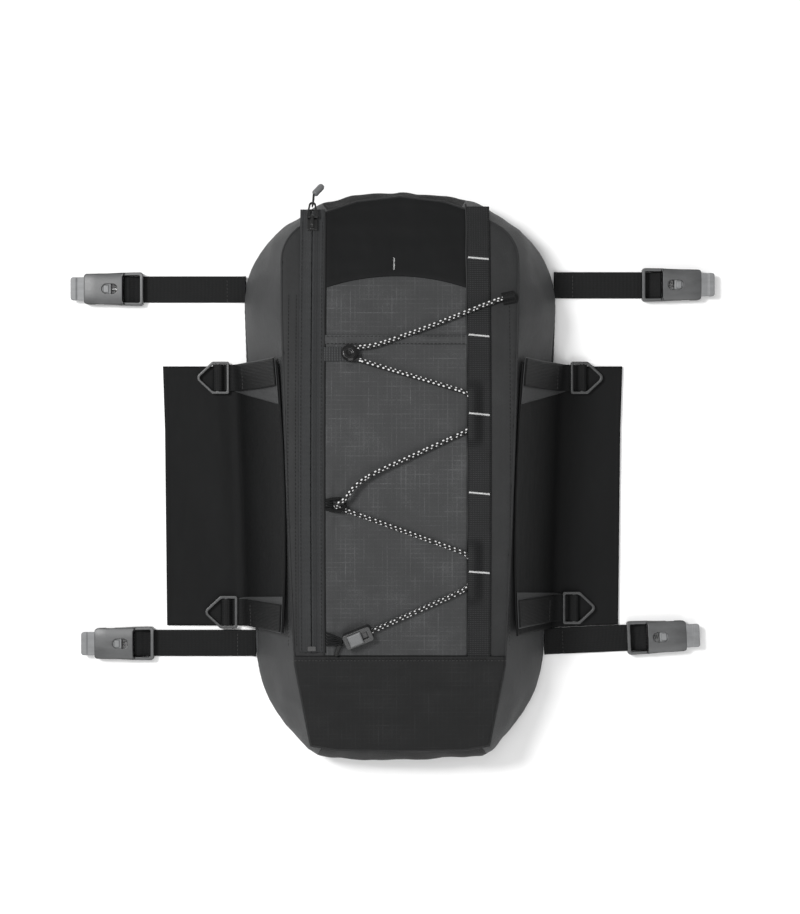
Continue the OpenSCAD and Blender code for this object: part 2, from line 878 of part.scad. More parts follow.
module clip_gate_ll() { clip_gate(1); }
module clip_gate_ur() { clip_gate(2); }
module clip_gate_lr() { clip_gate(3); }
module gate_spring_ul() { gate_spring(0); }
module gate_spring_ll() { gate_spring(1); }
module gate_spring_ur() { gate_spring(2); }
module gate_spring_lr() { gate_spring(3); }

back_panel();
foam_sheet();
side_wall();
edge_piping();
front_panel();
top_panel();
center_pocket();
pocket_hem();
bottom_pocket();
zip_tapes();
zip_chain();
zip_stops();
daisy_chain();
bar_tacks();
cord_anchor_tab();
hook_tab();
cord_hook();
mid_cord_loop();
lower_cord_loop();
shock_cord();
cord_lock_body();
cord_lock_button();
zip_slider();
pull_ring();
pull_cord();
pull_tip();
left_wing();
right_wing();
left_gussets();
right_gussets();
left_tabs();
right_tabs();
ladder_lock_ul();
ladder_lock_ll();
ladder_lock_ur();
ladder_lock_lr();
lock_webbing_ul();
lock_webbing_ll();
lock_webbing_ur();
lock_webbing_lr();
strap_ul();
strap_ll();
strap_ur();
strap_lr();
clip_housing_ul();
clip_housing_ll();
clip_housing_ur();
clip_housing_lr();
clip_gate_ul();
clip_gate_ll();
clip_gate_ur();
clip_gate_lr();
gate_spring_ul();
gate_spring_ll();
gate_spring_ur();
gate_spring_lr();
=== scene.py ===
import json
import math

import bmesh
import bpy
import numpy as np
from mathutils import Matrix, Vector, geometry, noise

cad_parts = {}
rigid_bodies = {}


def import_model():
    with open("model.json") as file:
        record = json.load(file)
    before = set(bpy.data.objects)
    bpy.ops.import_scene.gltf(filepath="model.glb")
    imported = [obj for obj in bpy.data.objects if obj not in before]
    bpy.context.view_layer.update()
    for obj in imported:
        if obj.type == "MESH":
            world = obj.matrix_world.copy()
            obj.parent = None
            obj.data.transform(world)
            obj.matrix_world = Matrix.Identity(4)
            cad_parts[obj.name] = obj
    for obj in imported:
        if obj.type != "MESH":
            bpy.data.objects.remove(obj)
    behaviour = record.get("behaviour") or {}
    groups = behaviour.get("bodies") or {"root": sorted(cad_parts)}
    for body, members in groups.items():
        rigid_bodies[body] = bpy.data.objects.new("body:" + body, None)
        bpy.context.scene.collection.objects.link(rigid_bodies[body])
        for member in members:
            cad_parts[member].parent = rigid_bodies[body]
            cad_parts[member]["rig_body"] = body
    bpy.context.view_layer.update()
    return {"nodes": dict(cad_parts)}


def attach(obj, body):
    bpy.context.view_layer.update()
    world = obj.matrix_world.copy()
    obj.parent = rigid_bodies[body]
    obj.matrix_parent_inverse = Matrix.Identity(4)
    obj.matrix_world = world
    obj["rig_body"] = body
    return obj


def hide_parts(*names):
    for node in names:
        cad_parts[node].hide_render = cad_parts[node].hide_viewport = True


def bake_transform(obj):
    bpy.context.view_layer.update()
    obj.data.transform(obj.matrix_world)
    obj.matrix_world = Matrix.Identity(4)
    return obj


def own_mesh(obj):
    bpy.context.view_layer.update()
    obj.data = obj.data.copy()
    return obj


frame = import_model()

# ---- Measures, in millimetres in the bag's own frame ----
MM = 0.001
BAG_MIDDLE = (7.0, 17.0)
HALF_W = 145.0
SHOULDER_R, SHOULDER_Y = 88.0, 143.0
FOOT_HALF_W, FOOT_R, FOOT_Y = 134.0, 120.0, -175.0
FRONT_HALF_W, CORNER_R = 107.0, 38.0
FRONT_R, ARC_Y, ARC_Z = 660.0, -15.0, -543.0
BACK_T, RIM_Z = 8.0, 18.0
PANEL_TOP, POCKET_TOP = 1.5, 3.0
ZIP_X, ZIP_FOOT_Y, ZIP_TOP_Y = -80.5, -178.0, 228.0
SEAM_LEFT, SEAM_RIGHT = -68.5, 61.0
BOTTOM_Y, HEM_Y = -181.0, 111.0
DAISY_W, WEB_T, STRAP_W = 21.5, 1.6, 25.0
TACK_Y = [182.0, 110.5, 39.0, -32.5, -104.0]
HUMP_Y, HUMP_L, HUMP_H = [39.0, -104.0], 60.0, 7.8
CORD_D = 4.0
EDGE_TAN = 11.0 / 318.0
EDGE_X = 145.0 - 11.0 * 143.0 / 318.0
WING_TOP_Y = 86.0
WING_PATH = [(-36.2, 117.0), (4.4, 17.0), (9.0, 5.2), (16.0, 1.3), (100.0, 1.3)]


def point(x, y, z):
    """A point of the bag's own frame, in metres in the row frame."""
    return Vector(((x + BAG_MIDDLE[0]) * MM, (y + BAG_MIDDLE[1]) * MM, z * MM))


def front_z(y, h):
    return ARC_Z + math.sqrt((FRONT_R + h) ** 2 - (y - ARC_Y) ** 2)


def on_face(x, y, h):
    """A point h above the bag's front face."""
    return point(x, y, front_z(y, h))


def linked(name, data):
    """A new object with this data, in the scene."""
    obj = bpy.data.objects.new(name, data)
    bpy.context.scene.collection.objects.link(obj)
    return obj


# ---- Camera ----
VIEW_WIDTH = 0.760
CAMERA_Z = 2.4
SENSOR = 36.0


def add_camera():
    data = bpy.data.cameras.new("camera")
    data.sensor_fit = "HORIZONTAL"
    data.sensor_width = SENSOR
    data.lens = SENSOR * CAMERA_Z / VIEW_WIDTH
    camera = linked("camera", data)
    camera.location = (BAG_MIDDLE[0] * MM, BAG_MIDDLE[1] * MM, CAMERA_Z)
    bpy.context.scene.camera = camera


add_camera()


# ---- Mesh helpers ----
def make(name, verts, faces, uvs=None, smooth=True):
    """A mesh object; uvs holds one pair of metres per vertex."""
    mesh = bpy.data.meshes.new(name)
    mesh.from_pydata([tuple(v) for v in verts], [], faces)
    if uvs is not None:
        layer = mesh.uv_layers.new(name="UVMap")
        index = np.zeros(len(mesh.loops), np.int32)
        mesh.loops.foreach_get("vertex_index", index)
        layer.data.foreach_set("uv", np.asarray(uvs, np.float32)[index].ravel())
    mesh.polygons.foreach_set("use_smooth", [smooth] * len(mesh.polygons))
    mesh.update()
    return linked(name, mesh)


def ring_faces(rows, sides, closed=False):
    """Quads between the rows of a section that is swept along a path."""
    faces = []
    for i in range(rows if closed else rows - 1):
        a, b = i * sides, (i + 1) % rows * sides
        faces += [(a + k, a + (k + 1) % sides, b + (k + 1) % sides, b + k) for k in range(sides)]
    return faces


def slab_faces(rows, cols):
    """Faces of a slab: a grid of points on top, the same again below, and the rim between."""
    n, faces = rows * cols, []
    for j in range(rows - 1):
        for i in range(cols - 1):
            a, d = j * cols + i, (j + 1) * cols + i
            faces += [(a, a + 1, d + 1, d), (n + a, n + d, n + d + 1, n + a + 1)]
    rim = list(range(cols)) + [j * cols + cols - 1 for j in range(1, rows)]
    rim += [n - cols + i for i in range(cols - 2, -1, -1)]
    rim += [j * cols for j in range(rows - 2, 0, -1)]
    return faces + [(b, a, n + a, n + b) for a, b in zip(rim, rim[1:] + rim[:1])]


def renumbered(faces):
    """The vertices that the faces use, and the faces with those vertices numbered from 0."""
    used = sorted({i for f in faces for i in f})
    new = {old: i for i, old in enumerate(used)}
    return used, [tuple(new[i] for i in f) for f in faces]


def finish_piece(obj, material, slot, body, replaced=()):
    obj.data.materials.clear()
    obj.data.materials.append(material)
    if body:
        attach(obj, body)
    if replaced:
        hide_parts(*replaced)
    return obj


def join(name, parts):
    """Joins several mesh objects into one."""
    with bpy.context.temp_override(active_object=parts[0], object=parts[0],
                                   selected_objects=parts, selected_editable_objects=parts):
        bpy.ops.object.join()
    parts[0].name = name
    parts[0].data.name = name
    return parts[0]


def smooth_path(points, step, closed=False):
    """Catmull-Rom curve through the points, with a point about every step."""
    p = [Vector(q) for q in points]
    n = len(p)
    out = []
    for i in range(n if closed else n - 1):
        a = p[(i - 1) % n] if closed or i > 0 else p[i] * 2 - p[i + 1]
        b, c = p[i], p[(i + 1) % n]
        d = p[(i + 2) % n] if closed or i + 2 < n else c * 2 - b
        pieces = max(1, round((c - b).length / step))
        for k in range(pieces):
            t = k / pieces
            out.append(0.5 * ((2 * b) + (c - a) * t + (2 * a - 5 * b + 4 * c - d) * t * t
                              + (3 * b - a - 3 * c + d) * t ** 3))
    if not closed:
        out.append(p[-1])
    return out


def frames_along(path, closed=False):
    """Tangent, side and up at each point, carried along without twist."""
    n = len(path)
    tangents = []
    for i in range(n):
        a = path[(i - 1) % n] if closed or i > 0 else path[i]
        b = path[(i + 1) % n] if closed or i < n - 1 else path[i]
        tangents.append((b - a).normalized())
    up = Vector((0, 0, 1)) if abs(tangents[0].z) < 0.9 else Vector((1, 0, 0))
    out = []
    for t in tangents:
        side = t.cross(up)
        side = side.normalized() if side.length > 1e-6 else Vector((1, 0, 0))
        up = side.cross(t).normalized()
        out.append((t, side, up))
    return out


def tube(name, path, radius, sides=10, closed=False, bulge=None):
    """A round tube along a path in metres; bulge(distance, angle) adds to its radius."""
    frames = frames_along(path, closed)
    verts, uvs = [], []
    length = 0.0
    for i, (p, (_, side, up)) in enumerate(zip(path, frames)):
        if i:
            length += (p - path[i - 1]).length
        for k in range(sides):
            a = 2 * math.pi * k / sides
            r = radius + (bulge(length, a) if bulge else 0.0)
            verts.append(p + r * (math.cos(a) * side + math.sin(a) * up))
            uvs.append((a * radius, length))
    faces = ring_faces(len(path), sides, closed)
    if not closed:
        faces.append(tuple(range(sides))[::-1])
        faces.append(tuple((len(path) - 1) * sides + k for k in range(sides)))
    return make(name, verts, faces, uvs)


def ribbon(name, path, widths, width, thickness, ripple=0.0, seed=0.0, edge=4):
    """Webbing along a path: widths gives the direction across it at each point."""
    n = len(path)
    half, t = width / 2, thickness / 2
    section = [(-half + t * (1 - math.cos(a)), t * math.sin(a))
               for a in [math.pi / 2 * k / edge for k in range(edge + 1)]]
    across = [-half + t + (width - 2 * t) * k / 12 for k in range(1, 12)]
    upper = section + [(u, t) for u in across] + [(-u, w) for u, w in section[::-1]]
    lower = [(u, -w) for u, w in upper[::-1][1:-1]]
    loop = upper + lower
    verts, uvs = [], []
    length = 0.0
    for i, p in enumerate(path):
        a, b = path[max(i - 1, 0)], path[min(i + 1, n - 1)]
        if i:
            length += (p - path[i - 1]).length
        side = Vector(widths[i]).normalized()
        up = (b - a).normalized().cross(side).normalized()
        for u, w in loop:
            lift = ripple * noise.noise(Vector((u * 60, length * 45, seed)))
            verts.append(p + u * side + (w + lift) * up)
            uvs.append((u, length))
    m = len(loop)
    faces = [(a, d, c, b) for a, b, c, d in ring_faces(n, m)]
    faces.append(tuple(range(m)))
    faces.append(tuple((n - 1) * m + k for k in range(m))[::-1])
    return make(name, verts, faces, uvs)


# ---- Outlines of the back panel and of the front face ----
def arc(cx, cy, r, a0, a1, n):
    angles = [math.radians(a0 + (a1 - a0) * i / n) for i in range(n + 1)]
    return [(cx + r * math.cos(a), cy + r * math.sin(a)) for a in angles]


def mirrored(half):
    return half + [(-x, y) for x, y in half[-2:0:-1]]


def base_outline(d=0.0):
    half = [(0, -283 - d), (60, -280.5 - d)]
    half += arc(FOOT_HALF_W - FOOT_R, FOOT_Y, FOOT_R + d, -60, 0, 9)
    half += arc(HALF_W - SHOULDER_R, SHOULDER_Y, SHOULDER_R + d, -2, 64, 9)
    return mirrored(half + [(66 + d / 2, 238 + d), (40, 242 + d), (0, 244 + d)])


def front_outline(d=0.0):
    half = [(0, -271 - d), (60, -270 - d), (82 + d, -266 - d), (FRONT_HALF_W - 11.5 + d, -190)]
    half += [(FRONT_HALF_W + d, 130)]
    half += arc(FRONT_HALF_W + 1 - CORNER_R, 180, CORNER_R + d, 0, 62, 6)
    return mirrored(half + [(66 + d, 226 + d), (40, 235 + d), (0, 240 + d)])


def resampled(outline, step):
    """The closed outline with a vertex at every corner and at most step between vertices."""
    out = []
    for i, a in enumerate(outline):
        b = outline[(i + 1) % len(outline)]
        n = max(1, math.ceil(math.dist(a, b) / step))
        out += [(a[0] + (b[0] - a[0]) * k / n, a[1] + (b[1] - a[1]) * k / n) for k in range(n)]
    return out


def inside(outline, xy):
    """Which of the points lie inside the outline."""
    x, y = xy[:, 0], xy[:, 1]
    hit = np.zeros(len(xy), bool)
    for (x0, y0), (x1, y1) in zip(outline, outline[1:] + outline[:1]):
        if y0 == y1:
            continue
        crosses = (y0 > y) != (y1 > y)
        hit ^= crosses & (x < x0 + (y - y0) * (x1 - x0) / (y1 - y0))
    return hit


def edge_distance(outline, xy):
    """Distance from each point to the outline."""
    best = np.full(len(xy), 1e9)
    for a, b in zip(outline, outline[1:] + outline[:1]):
        a, b = np.array(a, float), np.array(b, float)
        d = b - a
        if not d.any():
            continue
        t = np.clip(((xy - a) @ d) / (d @ d), 0, 1)
        best = np.minimum(best, np.linalg.norm(xy - (a + t[:, None] * d), axis=1))
    return best


def clipped(outline, axis, limit, keep_above):
    """The part of a convex outline above or below a limit on one axis."""
    out = []
    for a, b in zip(outline, outline[1:] + outline[:1]):
        ina, inb = (a[axis] >= limit) == keep_above, (b[axis] >= limit) == keep_above
        if ina:
            out.append(a)
        if ina != inb:
            t = (limit - a[axis]) / (b[axis] - a[axis])
            out.append((a[0] + (b[0] - a[0]) * t, a[1] + (b[1] - a[1]) * t))
    return out


def within(outline, holes, xy):
    """Which of the points lie inside the outline and in none of the holes."""
    keep = inside(outline, xy)
    for hole in holes:
        keep &= ~inside(list(hole), xy)
    return keep


def rim_distance(outlines, xy):
    return np.minimum.reduce([edge_distance(o, xy) for o in outlines])


def patch(name, outline, upper, lower, step=4.0, round_r=1.0, holes=()):
    """A sheet with thickness over a plan outline. upper and lower give z from x, y and edge distance."""
    outlines = [outline, *holes]
    rims = [resampled(o, step) for o in outlines]
    edge = np.array([p for r in rims for p in r], float)
    lo, hi = edge.min(0), edge.max(0)
    gx, gy = np.meshgrid(np.arange(lo[0], hi[0], step), np.arange(lo[1], hi[1], step * 0.87))
    gx = gx + (np.arange(gx.shape[0]) % 2)[:, None] * step / 2
    grid = np.stack([gx.ravel(), gy.ravel()], 1)
    grid = grid[within(outline, holes, grid) & (rim_distance(outlines, grid) > step * 0.45)]
    inset = []
    for o in rims:
        mid = np.array(o)
        nxt, prv = np.roll(mid, -1, 0), np.roll(mid, 1, 0)
        t = nxt - prv
        n = np.stack([-t[:, 1], t[:, 0]], 1) / np.maximum(np.linalg.norm(t, axis=1), 1e-9)[:, None]
        for d in (0.35 * round_r, round_r):
            for sign in (1, -1):
                inset.append(mid + sign * d * n)
    inset = np.concatenate(inset)
    ok = within(outline, holes, inset) & (rim_distance(outlines, inset) > 0.3 * round_r)
    xy = np.concatenate([edge, inset[ok], grid])
    edges, start = [], 0
    for r in rims:
        edges += [(start + i, start + (i + 1) % len(r)) for i in range(len(r))]
        start += len(r)
    result = geometry.delaunay_2d_cdt([Vector(p) for p in xy], edges, [], 0, 1e-5)
    flat = np.array([tuple(v) for v in result[0]], float)
    tris = [f for f in result[2] if len(f) == 3]
    middle = np.array([flat[list(f)].mean(0) for f in tris])
    tris = [f for f, k in zip(tris, within(outline, holes, middle)) if k]
    return patch_mesh(name, flat, tris, rim_distance(outlines, flat), upper, lower, round_r)


def patch_mesh(name, flat, tris, dist, upper, lower, round_r):
    used, numbered = renumbered(tris)
    n = len(used)
    verts = []
    for i in used:
        x, y = flat[i]
        near = min(dist[i], round_r)
        drop = round_r - math.sqrt(max(round_r ** 2 - (round_r - near) ** 2, 0.0))
        z0 = lower(x, y, dist[i])
        verts.append(point(x, y, max(upper(x, y, dist[i]) - drop, z0 + 0.05)))
    for i in used:
        x, y = flat[i]
        verts.append(point(x, y, lower(x, y, dist[i])))
    faces, count = [], {}
    for f, (a, b, c) in zip(tris, numbered):
        area = np.cross(flat[f[1]] - flat[f[0]], flat[f[2]] - flat[f[0]])
        if area < 0:
            b, c = c, b
        faces.append((a, b, c))
        faces.append((a + n, c + n, b + n))
        for e in ((a, b), (b, c), (c, a)):
            count[e] = 1
    for a, b in count:
        if (b, a) not in count:
            faces.append((b, a, a + n, b + n))
    uvs = [(flat[i][0] * MM, flat[i][1] * MM) for i in used] * 2
    return make(name, verts, faces, uvs)


def wave(x, y, scale, seed):
    """Smooth noise from about -1 to 1 at a scale in millimetres."""
    return noise.noise(Vector((x / scale, y / scale, seed)))


def bump(d, width):
    """1 at distance 0, falling smoothly to 0 at width."""
    return math.exp(-(d / width) ** 2)


# ---- Materials ----
class Nodes:
    """A short way to write one material's node tree."""

    def __init__(self, name, roughness, metallic=0.0, specular=0.5):
        self.material = bpy.data.materials.new(name)
        self.material.use_nodes = True
        self.tree = self.material.node_tree
        self.shader = self.tree.nodes["Principled BSDF"]
        self.shader.inputs["Roughness"].default_value = roughness
        self.shader.inputs["Metallic"].default_value = metallic
        self.shader.inputs["Specular IOR Level"].default_value = specular

    def add(self, kind, **inputs):
        node = self.tree.nodes.new(kind)
        for key, value in inputs.items():
            self.put(node.inputs[key], value)
        return node

    def put(self, socket, value):
        if isinstance(value, bpy.types.NodeSocket):
            self.tree.links.new(value, socket)
        else:
            socket.default_value = value

    def coords(self, kind):
        return self.add("ShaderNodeTexCoord").outputs[kind]

    def math(self, operation, a, b=0.0, c=0.0):
        node = self.tree.nodes.new("ShaderNodeMath")
        node.operation = operation
        for i, value in enumerate((a, b, c)):
            self.put(node.inputs[i], value)
        return node.outputs[0]

    def noise(self, vector, scale, detail=3.0, rough=0.5):
        node = self.add("ShaderNodeTexNoise", Vector=vector, Scale=scale, Detail=detail)
        node.inputs["Roughness"].default_value = rough
        return node.outputs["Fac"]

    def stretched(self, vector, scale):
        node = self.tree.nodes.new("ShaderNodeMapping")
        self.put(node.inputs["Vector"], vector)
        node.inputs["Scale"].default_value = scale
        return node.outputs["Vector"]

    def ramp(self, value, stops):
        node = self.tree.nodes.new("ShaderNodeValToRGB")
        self.put(node.inputs["Fac"], value)
        while len(node.color_ramp.elements) < len(stops):
            node.color_ramp.elements.new(0.5)
        for element, (place, colour) in zip(node.color_ramp.elements, stops):
            element.position = place
            element.color = colour
        return node.outputs["Color"]

    def relief(self, height, distance, strength=1.0):
        node = self.add("ShaderNodeBump", Height=height, Distance=distance)
        node.inputs["Strength"].default_value = strength
        self.put(self.shader.inputs["Normal"], node.outputs["Normal"])

    def colour(self, value):
        self.put(self.shader.inputs["Base Color"], value)


TINT, COOL = 0.02, 0.03    # how cool the greys of plain cloth and of black webbing are


def grey(level, tint=0.0):
    """A linear grey with a small cool tint."""
    return (level * (1 - tint), level, level * (1 + tint), 1)


def lines(n, axis_value, pitch, sharp):
    """Repeating thin lines, 1 on a line and 0 between, at a pitch in metres."""
    swing = n.math("SINE", n.math("MULTIPLY", axis_value, 2 * math.pi / pitch))
    half = n.math("MULTIPLY_ADD", swing, 0.5, 0.5)
    return n.math("POWER", half, sharp)


def fabric(name, level, lighter, kind, weave=0.0008, grid=0.0, rough=0.7):
    """Woven cloth on UV metres: fine threads, an optional ripstop grid and uneven wear."""
    n = Nodes(name, rough, specular=0.2)
    uv = n.coords(kind)
    axes = n.add("ShaderNodeSeparateXYZ", Vector=uv)
    across, along = axes.outputs["X"], axes.outputs["Y"]
    threads = n.math("ADD", lines(n, across, weave, 1.0), lines(n, along, weave, 1.0))
    threads = n.math("MULTIPLY", threads, 0.5)
    blotch = n.noise(uv, 26.0, 4.0, 0.6)
    speck = n.noise(uv, 900.0, 2.0, 0.7)
    shade = n.math("MULTIPLY_ADD", blotch, 0.55, n.math("MULTIPLY", speck, 0.45))
    height = n.math("MULTIPLY", threads, 0.35)
    if grid:
        runs = []
        for axis, reach in ((across, (240.0, 26.0, 1.0)), (along, (26.0, 240.0, 1.0))):
            fade = n.math("POWER", n.noise(n.stretched(uv, reach), 1.0, 2.0), 3.0)
            runs.append(n.math("MULTIPLY", lines(n, axis, grid, 9.0), fade))
        net = n.math("MAXIMUM", *runs)
        broken = n.math("MULTIPLY", net, n.noise(uv, 1100.0, 1.0, 0.5))
        shade = n.math("ADD", shade, n.math("MULTIPLY", broken, 1.25))
        height = n.math("ADD", height, n.math("MULTIPLY", net, 0.5))
    shade = n.math("MULTIPLY_ADD", threads, 0.12, shade)
    n.colour(n.ramp(shade, [(0.3, grey(level * 0.72, TINT)), (0.62, grey(level, TINT)),
                            (1.0, grey(lighter, TINT))]))
    crumple = n.noise(uv, 110.0, 5.0, 0.6)
    n.relief(n.math("MULTIPLY_ADD", crumple, 1.4, height), 0.00035, 0.7)
    return n.material


def woven_tape(name, level, lighter, pitch=0.0013):
    """Flat webbing: ribs across it, rows of yarn along it, darker edges of each yarn."""
    n = Nodes(name, 0.62, specular=0.15)
    uv = n.coords("UV")
    axes = n.add("ShaderNodeSeparateXYZ", Vector=uv)
    ribs = lines(n, axes.outputs["Y"], pitch, 1.0)
    rows = lines(n, axes.outputs["X"], 0.0022, 1.0)
    yarn = n.math("MULTIPLY", ribs, n.math("MULTIPLY_ADD", rows, 0.5, 0.5))
    fuzz = n.noise(uv, 1200.0, 3.0, 0.7)
    broad = n.noise(uv, 40.0, 3.0, 0.5)
    shade = n.math("MULTIPLY_ADD", fuzz, 0.45, n.math("MULTIPLY", broad, 0.2))
    shade = n.math("ADD", n.math("MULTIPLY", yarn, 0.45), shade)
    n.colour(n.ramp(shade, [(0.25, grey(level * 0.55, COOL)), (0.6, grey(level, COOL)),
                            (1.0, grey(lighter, COOL))]))
    n.relief(n.math("MULTIPLY_ADD", fuzz, 0.4, yarn), 0.00035, 0.8)
    return n.material


def coated(name, level, lighter, rough):
    """Smooth coated cloth: a very fine weave under the coat, long soft crease lines that shape the
    relief and paint shade and light into the colour, and scuffs.
    """
    n = Nodes(name, rough, specular=0.1)
    uv = n.coords("UV")
    axes = n.add("ShaderNodeSeparateXYZ", Vector=uv)
    threads = n.math("ADD", lines(n, axes.outputs["X"], 0.0009, 1.0),
                     lines(n, axes.outputs["Y"], 0.0009, 1.0))
    crease_relief_and_shade = n.noise(n.stretched(uv, (1.0, 0.35, 1.0)), 18.0, 4.0, 0.55)
    scuff = n.noise(n.stretched(uv, (3.0, 0.6, 1.0)), 60.0, 5.0, 0.7)
    # The crease lines darken and lighten the colour as painted shade and light; the scuffs add uneven
    # wear.
    shade = n.math("MULTIPLY_ADD", crease_relief_and_shade, 0.6, n.math("MULTIPLY", scuff, 0.4))
    n.colour(n.ramp(shade, [(0.3, grey(level * 0.8, COOL)), (0.55, grey(level, COOL)),
                            (0.85, grey(lighter, COOL))]))
    n.put(n.shader.inputs["Roughness"], n.math("MULTIPLY_ADD", scuff, 0.25, rough - 0.1))
    n.relief(n.math("MULTIPLY_ADD", threads, 0.12, crease_relief_and_shade), 0.0006, 0.6)
    return n.material


def plastic(name, level, rough, grain=0.5, specular=0.5):
    """Moulded plastic: fine spark-eroded grain and faint flow marks."""
    n = Nodes(name, rough, specular=specular)
    place = n.coords("Object")
    grains = n.noise(place, 2600.0, 2.0, 0.6)
    flow = n.noise(n.stretched(place, (1.0, 3.0, 1.0)), 60.0, 4.0, 0.6)
    n.colour(n.ramp(flow, [(0.3, grey(level * 0.82, TINT)), (0.7, grey(level * 1.15, TINT))]))
    n.put(n.shader.inputs["Roughness"], n.math("MULTIPLY_ADD", flow, 0.22, rough - 0.1))
    n.relief(grains, 0.00012, grain)
    return n.material


def metal(name, level, rough):
    n = Nodes(name, rough, metallic=1.0)
    place = n.coords("Object")
    brushed = n.noise(n.stretched(place, (1.0, 12.0, 1.0)), 500.0, 3.0, 0.6)
    n.colour(n.ramp(brushed, [(0.3, grey(level * 0.75)), (0.8, grey(level * 1.2))]))
    n.put(n.shader.inputs["Roughness"], n.math("MULTIPLY_ADD", brushed, 0.2, rough - 0.08))
    n.relief(brushed, 0.00008, 0.4)
    return n.material


def thread(name, level):
    n = Nodes(name, 0.6, specular=0.3)
    uv = n.coords("UV")
    axes = n.add("ShaderNodeSeparateXYZ", Vector=uv)
    twist = lines(n, n.math("ADD", axes.outputs["X"], axes.outputs["Y"]), 0.0006, 1.0)
    fuzz = n.noise(uv, 1500.0, 2.0, 0.6)
    shade = n.math("MULTIPLY_ADD", twist, 0.6, n.math("MULTIPLY", fuzz, 0.4))
    n.colour(n.ramp(shade, [(0.2, grey(level * 0.7)), (0.8, grey(level))]))
    n.relief(twist, 0.0002, 0.8)
    return n.material


RIPSTOP = fabric("ripstop_cloth", 0.038, 0.1, "UV", weave=0.0011, grid=0.0042)
DARK_RIPSTOP = fabric("ripstop_dark", 0.009, 0.022, "UV", weave=0.0011, grid=0.0042)
STRIP_CLOTH = fabric("strip_cloth", 0.020, 0.037, "UV", weave=0.0011, rough=0.66)
# A near-black copy of the strip cloth, used only for the cord beside the zip's seam, as painted shade in
# that seam.
SEAM_SHADE_CLOTH = fabric("seam_shade_cloth", 0.006, 0.012, "UV", weave=0.0011)
SIDE_CLOTH = fabric("side_cloth", 0.040, 0.058, "UV", weave=0.0009, rough=0.6)
BACK_CLOTH = fabric("back_cloth", 0.020, 0.045, "UV", weave=0.0024, grid=0.0048)
TOP_CLOTH = coated("top_cloth", 0.007, 0.011, rough=0.62)
# A darker copy of the top panel's coated cloth for the side wall's top end: painted shade against the
# key light that falls on that wall.
END_CLOTH_PAINTED_SHADE = coated("end_cloth_painted_shade", 0.005, 0.008, rough=0.65)
WING_CLOTH = coated("wing_cloth", 0.006, 0.009, rough=0.6)
BINDING = woven_tape("binding_tape", 0.055, 0.11)
WEBBING = woven_tape("webbing_tape", 0.007, 0.019)
DAISY = woven_tape("daisy_tape", 0.013, 0.05, pitch=0.0019)
HOOK_TAPE = woven_tape("hook_tape", 0.03, 0.09, pitch=0.0024)
ZIP_TAPE = woven_tape("zip_tape_cloth", 0.031, 0.056, pitch=0.0011)
ZIP_TEETH = plastic("zip_coil", 0.008, 0.35)
WHITE_THREAD = thread("white_thread", 0.82)
DARK_THREAD = thread("dark_thread", 0.012)
GREY_THREAD = thread("grey_thread", 0.07)
CORD_SHEATH = thread("cord_sheath", 0.02)
LIGHT_PLASTIC = plastic("light_plastic_grain", 0.165, 0.45)
GLOSS_PLASTIC = plastic("gloss_plastic", 0.004, 0.18, grain=0.05, specular=0.3)
# The clip housing's one plastic in two copies: the lighter one is a painted highlight on its flat top,
# the darker one is painted shade on its flanks.
CLIP_TOP_HIGHLIGHT_PLASTIC = plastic("clip_top_painted_highlight_plastic", 0.064, 0.38, grain=0.35)
CLIP_FLANK_SHADE_PLASTIC = plastic("clip_flank_painted_shade_plastic", 0.022, 0.42, grain=0.35)
LOCK_PLASTIC = plastic("lock_plastic", 0.03, 0.33, grain=0.2)
CORD_LOCK_PLASTIC = plastic("cord_lock_plastic", 0.016, 0.35)
BUTTON_PLASTIC = plastic("cord_lock_button_plastic", 0.11, 0.45)
TIP_PLASTIC = plastic("pull_tip_plastic", 0.10, 0.4)
CORD_OBJECT = fabric("pull_cord_braid", 0.02, 0.04, "Object", weave=0.0007)
BLACK_METAL = metal("black_metal_finish", 0.05, 0.3)
SPRING_STEEL = metal("spring_wire", 0.5, 0.25)
FOAM = fabric("foam_cells", 0.25, 0.4, "Object", weave=0.002)

# ---- Shock cord: [x, y, height above the front face] from its anchor to its tail ----
CORD_ROUTE = [
    (100, 145.4, 5.4), (92, 143.75, 5.4), (81, 140, 5.5), (60, 131.6, 5.5), (30, 119.8, 5.6),
    (0, 108.8, 6.3), (-22, 101.6, 7.4), (-38, 99.3, 8.05), (-42, 98.9, 8.05), (-46, 99.2, 8.05),
    (-49.4, 97.6, 8.05), (-50.9, 94.2, 8.05), (-49.8, 90.6, 8.05), (-46.4, 88.5, 8.05),
    (-42, 88.3, 8.05), (-36, 87.5, 7.8), (-10, 79.5, 6.4), (20, 70.5, 5.6), (48, 62, 5.5),
    (58, 58.5, 5.4), (63, 54, 5.4), (64.6, 48, 5.4), (64.8, 40, 5.4), (64.4, 32, 5.4),
    (62.4, 26, 5.4), (57, 22, 5.4), (46, 17, 5.6), (10, 0.6, 7), (-24, -15, 9), (-40, -26, 10.8),
    (-48, -36, 12.6), (-53, -40.4, 12.5), (-56.4, -42.4, 11), (-57.4, -43.8, 8.8),
    (-56.2, -45.6, 6.6), (-52, -46.6, 5.5), (-46, -49, 5.4), (-30, -54.6, 5.4), (0, -65.5, 5.4),
    (30, -76.4, 5.4), (50, -83.6, 5.4), (58, -87, 5.4), (62.6, -91, 5.4), (64.6, -97, 5.4),
    (64.8, -104, 5.4), (64.4, -111, 5.4), (62.4, -116.6, 5.4), (57, -120.6, 5.4),
    (44, -127, 5.4), (18, -138.6, 5.4), (-8, -150.3, 5.7), (-22, -156.55, 6.2),
    (-30, -159.86, 6.2), (-38, -163.17, 6.2), (-46, -166.48, 6.2), (-51.6, -168.8, 6.15),
    (-55.4, -172.5, 5.6), (-57.4, -176.8, 5.3), (-58.4, -180.6, 5.2)]
FLECK_PITCH = 0.0048
FLECK_SIZE = 0.00086
